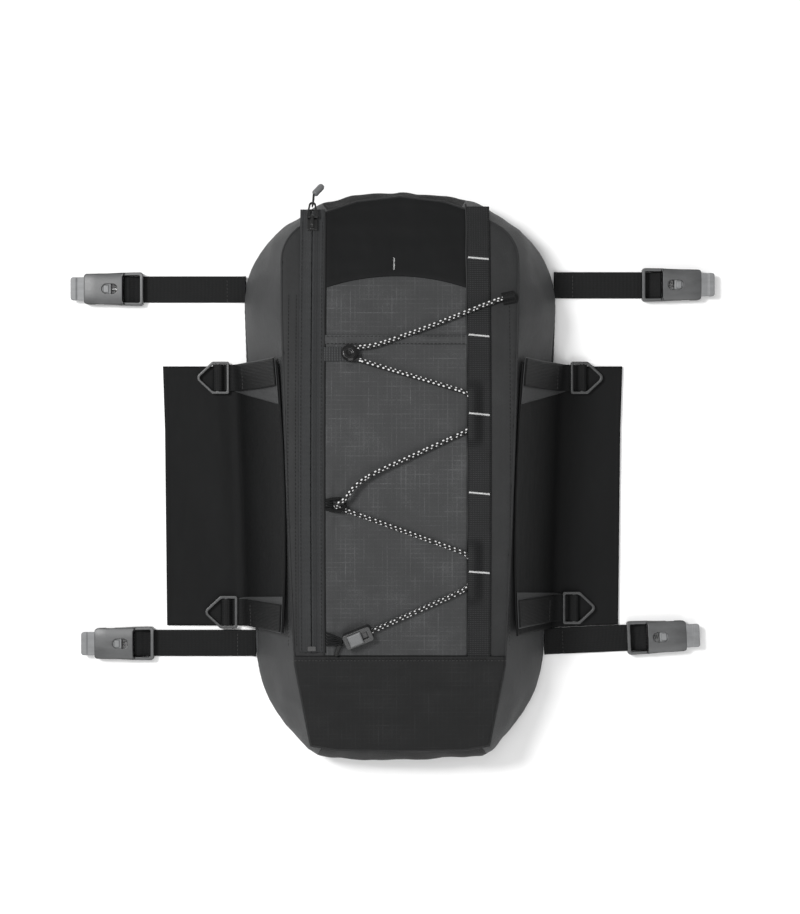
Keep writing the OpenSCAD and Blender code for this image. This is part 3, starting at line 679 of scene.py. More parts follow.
PLAIN_TAIL = 0.0235    # the cord's last stretch, below the cord lock, has no flecks
# Rows of light flecks woven into the sheath: [angle round the cord, share of a pitch, size]
FLECK_ROWS = [(55, 0.0, 1.0), (122, 0.4, 0.85), (200, 0.1, 0.9), (290, 0.5, 0.9)]


def dot(centre, along, side, up, size):
    """One fleck: a low oval bump lying on the sheath."""
    rings = [(1.0, 0.0), (0.86, 0.35), (0.5, 0.5)]    # radius and height, as shares of size
    verts = []
    for r, lift in rings:
        for k in range(8):
            a = math.pi * k / 4
            verts.append(centre + size * (1.35 * r * math.cos(a) * along
                                          + r * math.sin(a) * side + lift * 0.5 * up))
    verts.append(centre + size * 0.28 * up)
    faces = ring_faces(3, 8) + [(16 + k, 16 + (k + 1) % 8, 24) for k in range(8)]
    faces.append(tuple(range(8))[::-1])
    return verts, faces


def many(name, items):
    """One object from a list of (verts, faces)."""
    verts, faces, uvs = [], [], []
    for v, f in items:
        start = len(verts)
        verts += v
        uvs += [(p[0], p[1]) for p in v]
        faces += [tuple(start + i for i in face) for face in f]
    return make(name, verts, faces, uvs)


def shock_cord():
    path = smooth_path([on_face(*p) for p in CORD_ROUTE], 0.0015)
    length = sum((b - a).length for a, b in zip(path, path[1:]))
    radius = CORD_D * MM / 2
    cord = tube("bungee", path, radius, 14,
                bulge=lambda s, a: 0.00007 * math.sin(s * 2600) * math.sin(4 * a))
    finish_piece(cord, CORD_SHEATH, "shock_cord", "bag", ["shock_cord"])
    frames = frames_along(path)
    items = []
    for angle, share, size in FLECK_ROWS:
        a = math.radians(angle)
        gone, goal = 0.0, FLECK_PITCH * share
        for i in range(1, len(path)):
            gone += (path[i] - path[i - 1]).length
            if gone < goal:
                continue
            goal += FLECK_PITCH
            if length - gone < PLAIN_TAIL:
                break
            t, side, up = frames[i]
            out = math.cos(a) * side + math.sin(a) * up
            foot = path[i] + out * (radius - 0.0001)
            items.append(dot(foot, t, t.cross(out), out, FLECK_SIZE * size))
    flecks = many("bungee_flecks", items)
    finish_piece(flecks, WHITE_THREAD, "thread", "bag")


shock_cord()


# ---- Bag shell ----
def ray_outline(outline, n):
    """Points of a convex outline at n equal steps of a stretched angle round its middle."""
    pts = np.array(outline, float)
    out = []
    for k in range(n):
        a = 2 * math.pi * k / n
        d = np.array([0.55 * math.cos(a), math.sin(a)])
        best = None
        for p, q in zip(pts, np.roll(pts, -1, 0)):
            e = q - p
            det = d[0] * -e[1] + d[1] * e[0]
            if abs(det) < 1e-9:
                continue
            t = (p[0] * -e[1] + p[1] * e[0]) / det
            s = (d[0] * p[1] - d[1] * p[0]) / det
            if t > 0 and -1e-6 <= s <= 1 + 1e-6:
                best = t if best is None else max(best, t)
        out.append((d[0] * best, d[1] * best))
    return out


def side_bulge(x, y, v):
    """How far the side wall stands out between its seams; small under the wings."""
    under_wing = 1.0 if -172 < y < 96 else 0.0
    if 96 <= y < 130:
        under_wing = 1 - (y - 96) / 34
    if -205 < y <= -172:
        under_wing = (y + 205) / 33
    if abs(x) < 90:
        under_wing = 0.0
    full = math.sin(math.pi * v) ** 0.8
    crease = wave(x * 1.3, y, 38, 3.0 + 2 * v) + 0.6 * wave(x, y * 1.6, 17, 9.0)
    free = 1 - under_wing
    return full * (0.3 + 5.2 * free) + free * full * 2.4 * crease + 0.25 * wave(x, y, 9, 5.0)


SHELL_T = 0.0018
COLLAR = 0.08          # share of the side wall's height that stands straight up from the base seam
# Ends of the side wall in other cloths: [sign of y, least y, middle x, half width]
TOP_END, FOOT_END = (1, 176, -4, 65.5), (-1, 230, 0, 79)


def side_shell():
    n, m = 360, 22
    low, high = ray_outline(base_outline(), n), ray_outline(front_outline(), n)
    verts, uvs = [], []
    for j in range(m + 1):
        v = j / m
        for k in range(n):
            (x0, y0), (x1, y1) = low[k], high[k]
            z1 = front_z(y1, 0.4)
            if v < COLLAR:
                x, y, z = x0, y0, BACK_T + 0.6 + (RIM_Z - BACK_T) * v / COLLAR
            else:
                w = (v - COLLAR) / (1 - COLLAR)
                x, y = x0 + (x1 - x0) * w, y0 + (y1 - y0) * w
                z = RIM_Z + (z1 - RIM_Z) * w
            nx, ny = x0 / HALF_W ** 2, y0 / 265 ** 2
            size = math.hypot(nx, ny)
            out = side_bulge(x, y, v) if 0 < j < m else 0.0
            out -= 1.2 * max(1 - v / COLLAR, 0)
            verts.append(point(x + nx / size * out * 0.93, y + ny / size * out * 0.93, z + out * 0.3))
            uvs.append((k * 1500 / n * MM, v * 105 * MM))
    zones = {"side": [], "top": [], "foot": []}
    for f in ring_faces(m + 1, n):
        middle = verts[m // 2 * n + f[0] % n]
        zone = "side"
        for name, (sign, least, x, half) in (("top", TOP_END), ("foot", FOOT_END)):
            if sign * (middle.y / MM - BAG_MIDDLE[1]) > least and \
                    abs(middle.x / MM - BAG_MIDDLE[0] - x) < half:
                zone = name
        zones[zone].append(f)
    # The top end takes the darker copy of the top cloth as painted shade.
    cloths = {"side": (SIDE_CLOTH, "coated_fabric"), "top": (END_CLOTH_PAINTED_SHADE, "top_fabric"),
              "foot": (DARK_RIPSTOP, "ripstop")}
    for name, part in zones.items():
        used, part = renumbered(part)
        shell = make(name + "_shell", [verts[i] for i in used], part, [uvs[i] for i in used])
        solid = shell.modifiers.new("thickness", "SOLIDIFY")
        solid.thickness = SHELL_T
        solid.offset = -1
        apply_modifiers(shell)
        finish_piece(shell, *cloths[name], "bag", ["side_wall"])


def apply_modifiers(obj):
    graph = bpy.context.evaluated_depsgraph_get()
    mesh = bpy.data.meshes.new_from_object(obj.evaluated_get(graph))
    obj.modifiers.clear()
    obj.data = mesh


def back_pad():
    """The padded back: crowned panels between sewn channels, on the face that lies on the deck."""
    rows = [-150.0, -60.0, 30.0, 120.0]

    def quilt(x, y, d):
        nearest = min(abs(y - r) for r in rows)
        nearest = min(nearest, abs(abs(x) - 48))
        return 2.4 * bump(nearest, 5.5) + 1.6 * bump(d, 7) + 0.25 * (1 + wave(x, y, 12, 2.0))

    pad = patch("back_pad", base_outline(), lambda x, y, d: BACK_T, quilt, 4.5, 0.6)
    finish_piece(pad, BACK_CLOTH, "back_fabric", "bag", ["back_panel"])


def binding():
    """Bound seam round the base: a folded tape with a slight pucker."""
    loop = [point(x, y, BACK_T) for x, y in resampled(base_outline(0.7), 3)]
    path = smooth_path(loop, 0.003, closed=True)
    rope = tube("edge_binding", path, 0.0015, 10, closed=True,
                bulge=lambda s, a: 0.00012 * math.sin(s * 900))
    finish_piece(rope, BINDING, "binding", "bag", ["edge_piping"])


side_shell()
back_pad()
binding()


# ---- Front face ----
def box2(x0, x1, y0, y1):
    return [(x0, y0), (x1, y0), (x1, y1), (x0, y1)]


def arch(raised=0.0, n=16):
    """The curved seam at the foot of the top panel, from left to right."""
    return [(SEAM_LEFT + (SEAM_RIGHT - SEAM_LEFT) * i / n, 154 + raised + 44 * i / n * (1 - i / n))
            for i in range(n + 1)]


def face_patch(name, outline, upper, lower_h, material, slot, replaced=(), step=4.0, round_r=0.8,
               holes=()):
    """A sheet on the front face; upper gives its height above the face."""
    piece = patch(name, outline, lambda x, y, d: front_z(y, upper(x, y, d)),
                  lambda x, y, d: front_z(y, lower_h), step, round_r, holes)
    return finish_piece(piece, material, slot, "bag", replaced)


def seam_pucker(d, along, seed):
    """Short gathers that run in from a sewn edge."""
    return bump(d, 9) * 0.55 * noise.noise(Vector((along / 4.2, seed, 0.0)))


def front_cloth():
    slot_hole = box2(ZIP_X - 6.8, ZIP_X + 6.8, ZIP_FOOT_Y + 0.5, ZIP_TOP_Y + 3.5)

    def upper(x, y, d):
        ridge = 0.5 * bump(abs(x - 104.5), 1.6) + 0.5 * bump(abs(x + 104.5), 1.6)
        soft = 0.45 * (1 + wave(x * 2.2, y * 0.7, 26, 1.0)) * min(d / 6, 1)
        return 1.2 + ridge * min(d, 1) + soft * (0 if SEAM_LEFT < x < SEAM_RIGHT + 22 else 1)

    cloth = face_patch("front_cloth", front_outline(0.3), upper, 0.3, STRIP_CLOTH, "ripstop",
                       ["front_panel"], 4.2, 0.8, [slot_hole])


def top_panel():
    outline = arch() + clipped_top()

    def upper(x, y, d):
        fold = 0.6 * wave(x * 0.6, y * 1.8, 22, 4.0) + 0.25 * wave(x, y, 8, 6.0)
        return 2.75 + max(fold, -0.5) * min(d / 10, 1) + 0.5 * bump(d - 3.4, 1.5)

    panel = face_patch("top_cloth_panel", outline, upper, 1.9, TOP_CLOTH, "top_fabric",
                       ["top_panel"], 3.6, 0.7)


def clipped_top():
    """The top panel's other edges, from right to left."""
    top = clipped(clipped(front_outline(-0.2), 0, SEAM_LEFT, True), 0, SEAM_RIGHT, False)
    above = [p for p in top if p[1] > 190]
    return sorted(above, key=lambda p: -p[0])


def upper_cloth():
    """The ripstop that shows between the pocket's hem and the smooth top panel."""
    outline = box2(SEAM_LEFT + 0.2, SEAM_RIGHT - 0.2, 99.0, 150.0)[:2] + arch(3.0)[::-1]

    def upper(x, y, d):
        side = min(x - SEAM_LEFT, SEAM_RIGHT - x)
        folds = 0.5 * wave(x * 0.5, y * 1.6, 17, 12.0) * min(side / 12, 1)
        return 1.85 + max(folds, -0.3) + seam_pucker(165 - y, x, 2.0) * 0.8

    cloth = face_patch("upper_cloth", outline, upper, 1.4, RIPSTOP, "ripstop", (), 3.4, 0.6)


def pocket_slack(x, y):
    """Wrinkles of the loose pocket cloth: gathers at the sides and drag lines from the loop."""
    side = min(x - SEAM_LEFT, SEAM_RIGHT - x)
    gathers = bump(side, 16) * 0.8 * noise.noise(Vector((y / 5.5, 7.0, x / 40)))
    pull = 0.0
    for cx, cy, size in ((-60, -43.5, 1.3), (-60, 93, 0.7), (-58, -166, 0.9)):
        r = math.hypot(x - cx, y - cy)
        a = math.atan2(y - cy, x - cx)
        pull += size * bump(r - 12, 26) * 0.5 * math.sin(7 * a + r / 14)
    broad = 0.35 * wave(x, y * 0.6, 34, 8.0) + 0.14 * wave(x, y, 9, 11.0)
    across = 0.5 * bump(y + 96, 7) * bump(x + 20, 50) + 0.4 * bump(y - 52, 6) * bump(x, 45)
    return gathers + pull + broad + across


def center_pocket():
    outline = box2(SEAM_LEFT, SEAM_RIGHT, BOTTOM_Y, HEM_Y)

    def upper(x, y, d):
        side = min(x - SEAM_LEFT, SEAM_RIGHT - x)
        return 2.75 + min(max(pocket_slack(x, y), -1.0), 0.9) * min(side / 5, 1)

    cloth = face_patch("center_pocket_cloth", outline, upper, 1.5, RIPSTOP, "ripstop",
                       ["center_pocket"], 3.0, 0.8)

    def hem_top(x, y, d):
        return 3.75 + 0.25 * wave(x, y * 3, 9, 2.0)

    face_patch("pocket_hem_band", box2(SEAM_LEFT, SEAM_RIGHT, HEM_Y - 9, HEM_Y), hem_top, 2.6,
               RIPSTOP, "ripstop", ["pocket_hem"], 2.2, 0.9)


def bottom_pocket():
    outline = clipped(front_outline(0.2), 1, BOTTOM_Y - 0.3, False)

    def upper(x, y, d):
        top = BOTTOM_Y - y
        gathers = bump(top, 13) * 0.7 * noise.noise(Vector((x / 6, 3.0, y / 50)))
        folds = 0.7 * wave(x * 0.8, y * 1.5, 21, 14.0) + 0.22 * wave(x, y, 7, 15.0)
        tuck = -0.8 * bump(y + 213, 3.2) * bump(abs(x) - 40, 40)
        return 3.5 + min(max(gathers + folds + tuck, -1.3), 1.1) * min(d / 8, 1)

    cloth = face_patch("bottom_pocket_cloth", outline, upper, 1.6, DARK_RIPSTOP, "ripstop",
                       ["bottom_pocket"], 3.2, 1.6)


front_cloth()
upper_cloth()
top_panel()
center_pocket()
bottom_pocket()


# ---- Zip ----
def zip_parts():
    def upper(x, y, d):
        out = abs(x - ZIP_X)
        welt = 1.6 * bump(out, 4.6) - 0.45 * bump(out - 6.4, 1.1)
        return 2.6 + welt + 0.35 * bump(out - 10.2, 0.9) + 0.12 * wave(x, y, 9, 21.0)

    for name, x0, x1 in (("outer", ZIP_X - 11.3, ZIP_X - 0.25), ("inner", ZIP_X + 0.25, ZIP_X + 11.3)):
        face_patch("zip_tape_" + name, box2(x0, x1, ZIP_FOOT_Y, ZIP_TOP_Y), upper,
                                1.55, ZIP_TAPE, "zip_tape", (), 2.0, 0.5)
    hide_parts("zip_tapes")
    items = []
    y, side = ZIP_FOOT_Y + 5, 1
    while y < ZIP_TOP_Y - 3:
        items.append(tooth(ZIP_X + side * 1.45, y, side))
        y += 1.1
        side = -side
    teeth = many("zip_coil_teeth", items)
    finish_piece(teeth, ZIP_TEETH, "zip_teeth", "bag", ["zip_chain"])


def tooth(x, y, side):
    """One turn of the coil: a low arch across the tape's edge."""
    span, wide, steps = 2.5, 0.8, 5
    verts = []
    for i in range(steps + 1):
        t = i / steps
        px = x + side * (t - 0.5) * span
        h = 2.55 + 1.45 * math.sin(math.pi * (0.12 + 0.88 * t)) ** 0.6
        for dy, dh in ((-wide / 2, 0.0), (-wide / 4, 0.18), (wide / 4, 0.18), (wide / 2, 0.0)):
            verts.append(on_face(px, y + dy, min(h + dh - 0.2, 4.0)))
        verts.append(on_face(px, y, 2.4))
    ends = [(0, 1, 2, 3, 4), tuple(steps * 5 + k for k in (4, 3, 2, 1, 0))]
    return verts, ring_faces(steps + 1, 5) + ends


# ---- Daisy chain, bar tacks and cord fittings ----
def daisy_height(x, y):
    """Height of the webbing's middle above the front face: the cord lifts its left edge."""
    lift = 0.0
    for middle in HUMP_Y:
        t = min(max((33 - abs(y - middle)) / 13, 0), 1)
        lift = max(lift, t * t * (3 - 2 * t))
    edge = min(max(1 - (x - SEAM_RIGHT - 4.5) / 11, 0), 1)
    return PANEL_TOP + WEB_T / 2 + 0.15 + (HUMP_H - PANEL_TOP) * lift * edge * edge * (3 - 2 * edge)


def daisy_chain():
    xs = [SEAM_RIGHT + 0.3 + (DAISY_W - 0.6) * i / 16 for i in range(17)]
    ys = np.arange(BOTTOM_Y - 1, 231.5, 1.6)
    verts, uvs = [], []
    for half in (0.5, -0.5):
        for y in ys:
            for i, x in enumerate(xs):
                thin = 0.55 if i in (0, 16) else 1.0
                verts.append(on_face(x, y, daisy_height(x, y) + half * WEB_T * thin
                                     + 0.12 * wave(x, y, 11, 4.0)))
                uvs.append((x * MM, y * MM))
    band = make("daisy_chain_band", verts, slab_faces(len(ys), len(xs)), uvs)
    finish_piece(band, DAISY, "webbing", "bag", ["daisy_chain"])


def zigzag(name, line, across, material, body, pitch=0.0009, radius=0.00028):
    """A bar tack: thread laid from side to side along a line of points."""
    path = smooth_path(line, pitch / 2)
    pts = []
    for i, p in enumerate(path):
        fray = 1 + 0.16 * noise.noise(Vector((i * 0.9, p.y * 50, p.x * 90)))
        pts.append(p + across * (fray if i % 2 else -fray))
    rope = tube(name, smooth_path(pts, 0.0009), radius, 6)
    return finish_piece(rope, material, "thread", body)


def bar_tacks():
    for i, y in enumerate(TACK_Y):
        ends = [(SEAM_RIGHT + 1.4, y + 0.6), (SEAM_RIGHT + DAISY_W - 1.6, y - 1.1)]
        line = []
        for k in range(9):
            x = ends[0][0] + (ends[1][0] - ends[0][0]) * k / 8
            yy = ends[0][1] + (ends[1][1] - ends[0][1]) * k / 8
            line.append(on_face(x, yy, daisy_height(x, yy) + WEB_T / 2 + 0.3))
        tack = zigzag("bar_tack_%d" % i, line, Vector((0, 0.00085, 0)), WHITE_THREAD, "bag")
        if i == 0:
            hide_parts("bar_tacks")
    line = [on_face(-5.4, y, 3.5) for y in (171, 176, 182)]
    zigzag("top_tack", line, Vector((0.0006, 0, 0)), WHITE_THREAD, "bag", 0.0011, 0.00026)


def anchor_tab():
    """Webbing folded round the cord's end and sewn down at the front face's right seam."""
    a = math.radians(12)
    u, v = Vector((math.cos(a), math.sin(a), 0)), Vector((-math.sin(a), math.cos(a), 0))
    foot = on_face(93, 143, 0)
    up = Vector((0, 0.2388, 0.971))
    v = (v - up * v.dot(up)).normalized()
    # section round the cord, as [across the cord, height]
    section = [(-5.4, 2.4), (-4.6, 3.4), (-3.2, 4.6), (-2.2, 6.6), (-0.9, 7.9), (0.9, 7.9),
               (2.2, 6.6), (3.2, 4.6), (4.6, 3.4), (5.4, 2.4)]
    path = smooth_path([foot + v * p * MM + up * q * MM for p, q in section], 0.0006)
    path = [p + u * 0.006 for p in path]
    loop = ribbon("cord_anchor_loop", path, [u] * len(path), 0.0118, 0.0011, 0.0002, 2.0)
    finish_piece(loop, WEBBING, "webbing", "bag", ["cord_anchor_tab"])
    end = [foot + u * 0.0126 + up * 0.0035 + v * (k - 8) * 0.0006 for k in range(17)]
    zigzag("anchor_stitch", end, u * 0.0005, DARK_THREAD, "bag")


def hook_tab():
    path, widths = [], []
    for i in range(40):
        x = SEAM_LEFT - 0.5 + i * (30.2 / 39)
        path.append(on_face(x, 93, 3.85))
        widths.append((0, -1, 0))
    band = ribbon("hook_tab_band", path, widths, 0.0132, 0.0016, 0.0002, 3.0)
    finish_piece(band, HOOK_TAPE, "webbing", "bag", ["hook_tab"])


def cord_loops():
    bend = [(-55 + 5.6 * math.cos(math.radians(a)), -43.5 + 5.6 * math.sin(math.radians(a)), 9.0)
            for a in range(90, -91, -20)]
    route = [(-67.5, -39.9, 4.6), (-62, -38.5, 5.6)] + bend + [(-62, -48.5, 5.6), (-67.5, -47.1, 4.6)]
    parts = []
    for shift, drop in ((0.0, 0.0), (0.9, -1.0)):
        pts = [on_face(x + shift * 0.4, y + shift, h + drop * 0.5) for x, y, h in route]
        parts.append(tube("mid_loop", smooth_path(pts, 0.0008), 0.00095, 8,
                          bulge=lambda s, a: 0.00012 * math.sin(s * 3000 + a * 2)))
    for dy in (-3.0, -1.0, 1.0, 3.0):
        pts = [on_face(-67.5, -43.5 + dy * 1.3, 4.2), on_face(-64, -43.5 + dy, 4.8),
               on_face(-60.5, -43.5 + dy * 0.8, 5.2)]
        parts.append(tube("mid_loop_yarn", smooth_path(pts, 0.0008), 0.0008, 8))
    finish_piece(join("mid_cord_webbing", parts), WEBBING, "webbing", "bag", ["mid_cord_loop"])
    parts = []
    for leg in (-1.3, -0.65, 0, 0.65, 1.3):
        pts = [on_face(-67.5, -165.5 + leg * 4.4, 4.6), on_face(-62, -166.2 + leg * 3.6, 5.6),
               on_face(-56, -167 + leg * 2.4, 6.6 + 1.4 * abs(leg)),
               on_face(-52.6, -168.4 + leg * 2, 9.6)]
        parts.append(tube("low_loop", smooth_path(pts, 0.0008), 0.0008, 8,
                          bulge=lambda s, a: 0.0001 * math.sin(s * 3000 + a * 2)))
    finish_piece(join("lower_cord_webbing", parts), WEBBING, "webbing", "bag", ["lower_cord_loop"])


zip_parts()
daisy_chain()
bar_tacks()
anchor_tab()
hook_tab()
cord_loops()


# ---- Rows of stitches ----
def stitches(name, pts, body, material, length=0.0024, gap=0.0012, radius=0.00025):
    """A row of separate stitches along a path in metres."""
    path = smooth_path(pts, 0.0006)
    lengths = [0.0]
    for a, b in zip(path, path[1:]):
        lengths.append(lengths[-1] + (b - a).length)

    def at(distance):
        return path[min(int(np.searchsorted(lengths, distance)), len(path) - 1)]

    starts = [k * (length + gap) for k in range(int(lengths[-1] / (length + gap)))]
    rows = many(name, [s for s in (stitch(at(d), at(d + length), radius) for d in starts) if s])
    return finish_piece(rows, material, "thread", body)


def stitch(a, b, radius):
    along = b - a
    if along.length < 1e-5:
        return None
    t = along.normalized()
    side = t.cross(Vector((0, 0, 1)))
    side = side.normalized() if side.length > 1e-6 else Vector((1, 0, 0))
    up = side.cross(t)
    verts = []
    for share, size in ((0.0, 0.3), (0.18, 1.0), (0.82, 1.0), (1.0, 0.3)):
        for k in range(6):
            q = math.pi * k / 3
            verts.append(a + along * share + radius * size * (math.cos(q) * side + math.sin(q) * up))
    return verts, ring_faces(4, 6) + [tuple(range(6))[::-1], tuple(range(18, 24))]


def face_row(name, points, h, material, **sizes):
    """Stitches along a polyline on the front face, h above it."""
    pts = []
    for (x0, y0), (x1, y1) in zip(points, points[1:]):
        k = max(1, round(math.dist((x0, y0), (x1, y1)) / 6))
        pts += [on_face(x0 + (x1 - x0) * i / k, y0 + (y1 - y0) * i / k, h) for i in range(k)]
    pts.append(on_face(*points[-1], h))
    return stitches(name, pts, "bag", material, **sizes)


def front_stitching():
    left, right = SEAM_LEFT, SEAM_RIGHT
    face_row("hem_row_low", [(left + 2, HEM_Y - 8.2), (right - 1, HEM_Y - 8.2)], 3.95, DARK_THREAD)
    face_row("hem_row_top", [(left + 2, HEM_Y - 1.4), (right - 1, HEM_Y - 1.4)], 3.85, DARK_THREAD)
    face_row("pocket_row_foot", [(left, BOTTOM_Y - 3.2), (right + DAISY_W, BOTTOM_Y - 3.2)], 4.0,
             DARK_THREAD)
    face_row("pocket_row_wide", [(-103, BOTTOM_Y - 4.6), (100, BOTTOM_Y - 4.6)], 3.95, GREY_THREAD,
             length=0.002, radius=0.0002)
    for x, name in ((ZIP_X - 9.2, "outer"), (ZIP_X + 9.2, "inner")):
        face_row("zip_row_" + name, [(x, ZIP_FOOT_Y + 2), (x, ZIP_TOP_Y - 8)], 3.0, DARK_THREAD)
    for x, name in ((-94.5, "left"), (-101.5, "left_outer"), (99.5, "right")):
        face_row("panel_row_" + name, [(x, -172), (x, 150)], 2.25, DARK_THREAD, radius=0.0002)
    for x, name in ((SEAM_RIGHT + 1.6, "near"), (SEAM_RIGHT + DAISY_W - 1.6, "far")):
        for i, (y0, y1) in enumerate(((-177, -140), (-66, 4), (74, 222))):
            face_row("daisy_row_%s_%d" % (name, i), [(x, y0), (x, y1)], 3.25, DARK_THREAD)


def seam_cords():
    """Raised piping along the two long seams of the front and round the front face's edge, and a dark
    cord beside the zip's seam that is painted shade in that seam.
    """
    runs = {"left_seam": [(SEAM_LEFT - 0.6, -180), (SEAM_LEFT - 0.6, 226)],
            "right_seam": [(SEAM_RIGHT - 0.3, -180), (SEAM_RIGHT - 0.3, 233)]}
    for name, ((x0, y0), (x1, y1)) in runs.items():
        pts = [on_face(x0 + 0.25 * math.sin(i * 0.6), y0 + (y1 - y0) * i / 80, 2.7) for i in range(81)]
        rope = tube(name, smooth_path(pts, 0.002), 0.00085, 8)
        finish_piece(rope, STRIP_CLOTH, "ripstop", "bag")
    # A dark cord beside the zip's seam: painted shade in the seam's groove.
    pts = [on_face(ZIP_X + 12.3, y, 2.7) for y in np.linspace(ZIP_FOOT_Y, ZIP_TOP_Y - 6, 60)]
    finish_piece(tube("zip_seam_shade_cord", smooth_path(pts, 0.002), 0.001, 8), SEAM_SHADE_CLOTH, "ripstop", "bag")
    pts = [on_face(x, y, 0.6) for x, y in resampled(front_outline(0.4), 4)]
    rope = tube("front_seam", smooth_path(pts, 0.003, closed=True), 0.0011, 8, closed=True,
                bulge=lambda s, a: 0.0001 * math.sin(s * 800))
    finish_piece(rope, STRIP_CLOTH, "ripstop", "bag")


front_stitching()
seam_cords()


# ---- Wings ----
def wing_curve():
    """The wing's profile at 1 mm steps with its corners rounded: rows of [distance, height]."""
    pts = []
    for (d0, z0), (d1, z1) in zip(WING_PATH, WING_PATH[1:]):
        n = max(1, round(math.dist((d0, z0), (d1, z1))))
        pts += [(d0 + (d1 - d0) * k / n, z0 + (z1 - z0) * k / n) for k in range(n)]
    curve = np.array(pts + [WING_PATH[-1]])
    reach = 5          # mm either way that a corner is rounded over
    kernel = np.ones(2 * reach + 1) / (2 * reach + 1)
    padded = np.pad(curve, ((reach, reach), (0, 0)), mode="reflect", reflect_type="odd")
    return np.stack([np.convolve(padded[:, i], kernel, "valid") for i in range(2)], 1)


CURVE = wing_curve()


def wing_point(side, d, y, lift):
    """A point lift (mm) off the middle of the wing's cloth, d from the base edge."""
    i = min(max(int(np.searchsorted(CURVE[:, 0], d)), 1), len(CURVE) - 1)
    a, b = CURVE[i - 1], CURVE[i]
    t = (d - a[0]) / (b[0] - a[0])
    slope = b - a
    normal = np.array([-slope[1], slope[0]]) / math.hypot(*slope)
    q = a + slope * t + normal * lift
    return point(side * (EDGE_X + y * EDGE_TAN + q[0]), y, q[1])


def start_of(y, h=-4.0):
    """Distance from the base edge at which the wing meets the front face's height."""
    return 4.4 - (front_z(y, h) - 17) / 2.463


def wing_sheet(name, side, end, low, high, base, thick, material, slot, replaced, rows, relief,
               inset=0.0):
    """Cloth on a wing's surface. end gives x at y, low and high the edges' y at x."""
    cols, verts, uvs = 90, [], []
    for j in range(rows + 1):
        v = j / rows
        for i in range(cols + 1):
            u = i / cols
            y = low(104) + (high(104) - low(104)) * v
            x = 104 + (end(y) - 104) * u
            y = low(x) + (high(x) - low(x)) * v
            d0 = start_of(y) + inset
            d1 = end(y) - EDGE_X - y * EDGE_TAN
            d = d0 + (d1 - d0) * u
            verts.append((d, y, relief(d, y, u, v)))
            uvs.append(((d + 40) * (1 if d > 10 else 2.4) * MM, y * MM))
    top = [wing_point(side, d, y, base + thick + e) for d, y, e in verts]
    under = [wing_point(side, d, y, base + e) for d, y, e in verts]
    faces = slab_faces(rows + 1, cols + 1)
    if side < 0:
        faces = [f[::-1] for f in faces]
    obj = make(name, top + under, faces, uvs * 2)
    finish_piece(obj, material, slot, None, replaced)
    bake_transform(obj)
    return obj


LASH_Y = {-1: (75, -147), 1: (75, -143)}    # the upper and lower ladder lock on each wing
LOCK_START = 18.5      # from the base edge to a ladder lock's inner end


def wings():
    feet = {-1: (WING_TOP_Y - 246.3, WING_TOP_Y - 245.7, 223), 1: (-163.9, -158.9, 209)}
    for side, word in ((-1, "left"), (1, "right")):
        foot_in, foot_out, reach = feet[side]

        def end(y, reach=reach):
            return reach + 2 if y > 26 and y > WING_TOP_Y - 1 else (
                reach + 2 * (y - 26) / 60 if y > 26 else reach - 2 * (26 - y) / 188)

        def low(x, a=foot_in, b=foot_out, reach=reach):
            return a + (b - a) * (x - 90) / (reach - 92)

        def relief(d, y, u, v, side=side):
            edge = min(1 - u, v, 1 - v)
            hem = 0.35 * bump(edge * 150 - 3, 1.2)
            if d < 12:
                return hem * 0.4 + 0.25 * wave(d * 2, y, 24, 30 + side)
            lift = 0.8 + 0.7 * wave(d * 0.9, y * 0.45, 46, 31 + side) + 0.15 * wave(d, y * 0.8, 14, 33.0)
            near_lock = max(bump(y - 75, 26), bump(y + 145, 26)) * bump(d - 24, 24)
            fold = 0.12 * bump(d - 26 - 4 * math.sin(y / 40), 5)
            return hem + max(lift + fold, 0) * min((d - 12) / 18, 1) * (1 - 0.9 * near_lock)

        sheet = wing_sheet(word + "_wing_cloth", side, end, low, lambda x: WING_TOP_Y, -0.7, 1.3,
                           WING_CLOTH, "wing_fabric", [word + "_wing"], 110, relief)
        for level, y in zip(("upper", "lower"), LASH_Y[side]):
            lash_point(side, word, level, y)


def lash_point(side, word, level, y):
    """The ripstop gusset and the webbing tab that carry one ladder lock."""
    end_x = EDGE_X + 17
    i, rise, fall, climb = (0, 17, 31, 4.5) if level == "upper" else (1, 22, 14, 0)
    x1 = EDGE_X + y * EDGE_TAN + LOCK_START

    def low(x):
        return y - fall + (fall - 12.6) * (x - 90) / (end_x - 90)

    def high(x):
        return y + rise + (12.6 - rise) * (x - 90) / (end_x - 90)

    def folds(d, yy, u, v):
        return 0.12 + 0.35 * abs(wave(d * 0.7, yy * 1.8, 11, 40 + i + side)) * min(u, v, 1 - v) * 8

    def flat(d, yy, u, v):
        return 0.3 + 0.12 * wave(d, yy, 14, 50 + i)

    def middle(x):
        """The upper tabs climb a little towards the bag."""
        return y + climb * (1 - (x - 90) / (x1 - 90)) ** 3

    gusset = wing_sheet("%s_%s_gusset" % (word, level), side, lambda yy: end_x, low, high, 0.9, 0.7,
                        SIDE_CLOTH, "ripstop", [word + "_gussets"], 26, folds, 0.6)
    wing_sheet("%s_%s_tab" % (word, level), side, lambda yy: x1,
               lambda x: middle(x) - STRAP_W / 2, lambda x: middle(x) + STRAP_W / 2, 1.85, 1.4,
               WEBBING, "webbing", [word + "_tabs"], 16, flat, 0.6)
    path = [wing_point(side, 2.5 + 0.2 * math.sin(k), y - 11.5 + climb * 0.1 + k, 3.55)
            for k in range(24)]
    stitches("%s_%s_tab_row" % (word, level), path, word + "_wing", GREY_THREAD)


wings()


# ---- Straps: [side, y at the bag, x of the clip's inner end, turn, x at the bag] ----
STRAPS = {"ul": (-1, 159, 243, 0, 146.0), "ll": (-1, -176.5, 233, 0, 136.2),
          "ur": (1, 163, 229, 0, 145.8), "lr": (1, -175, 215, 2.5, 136.4)}


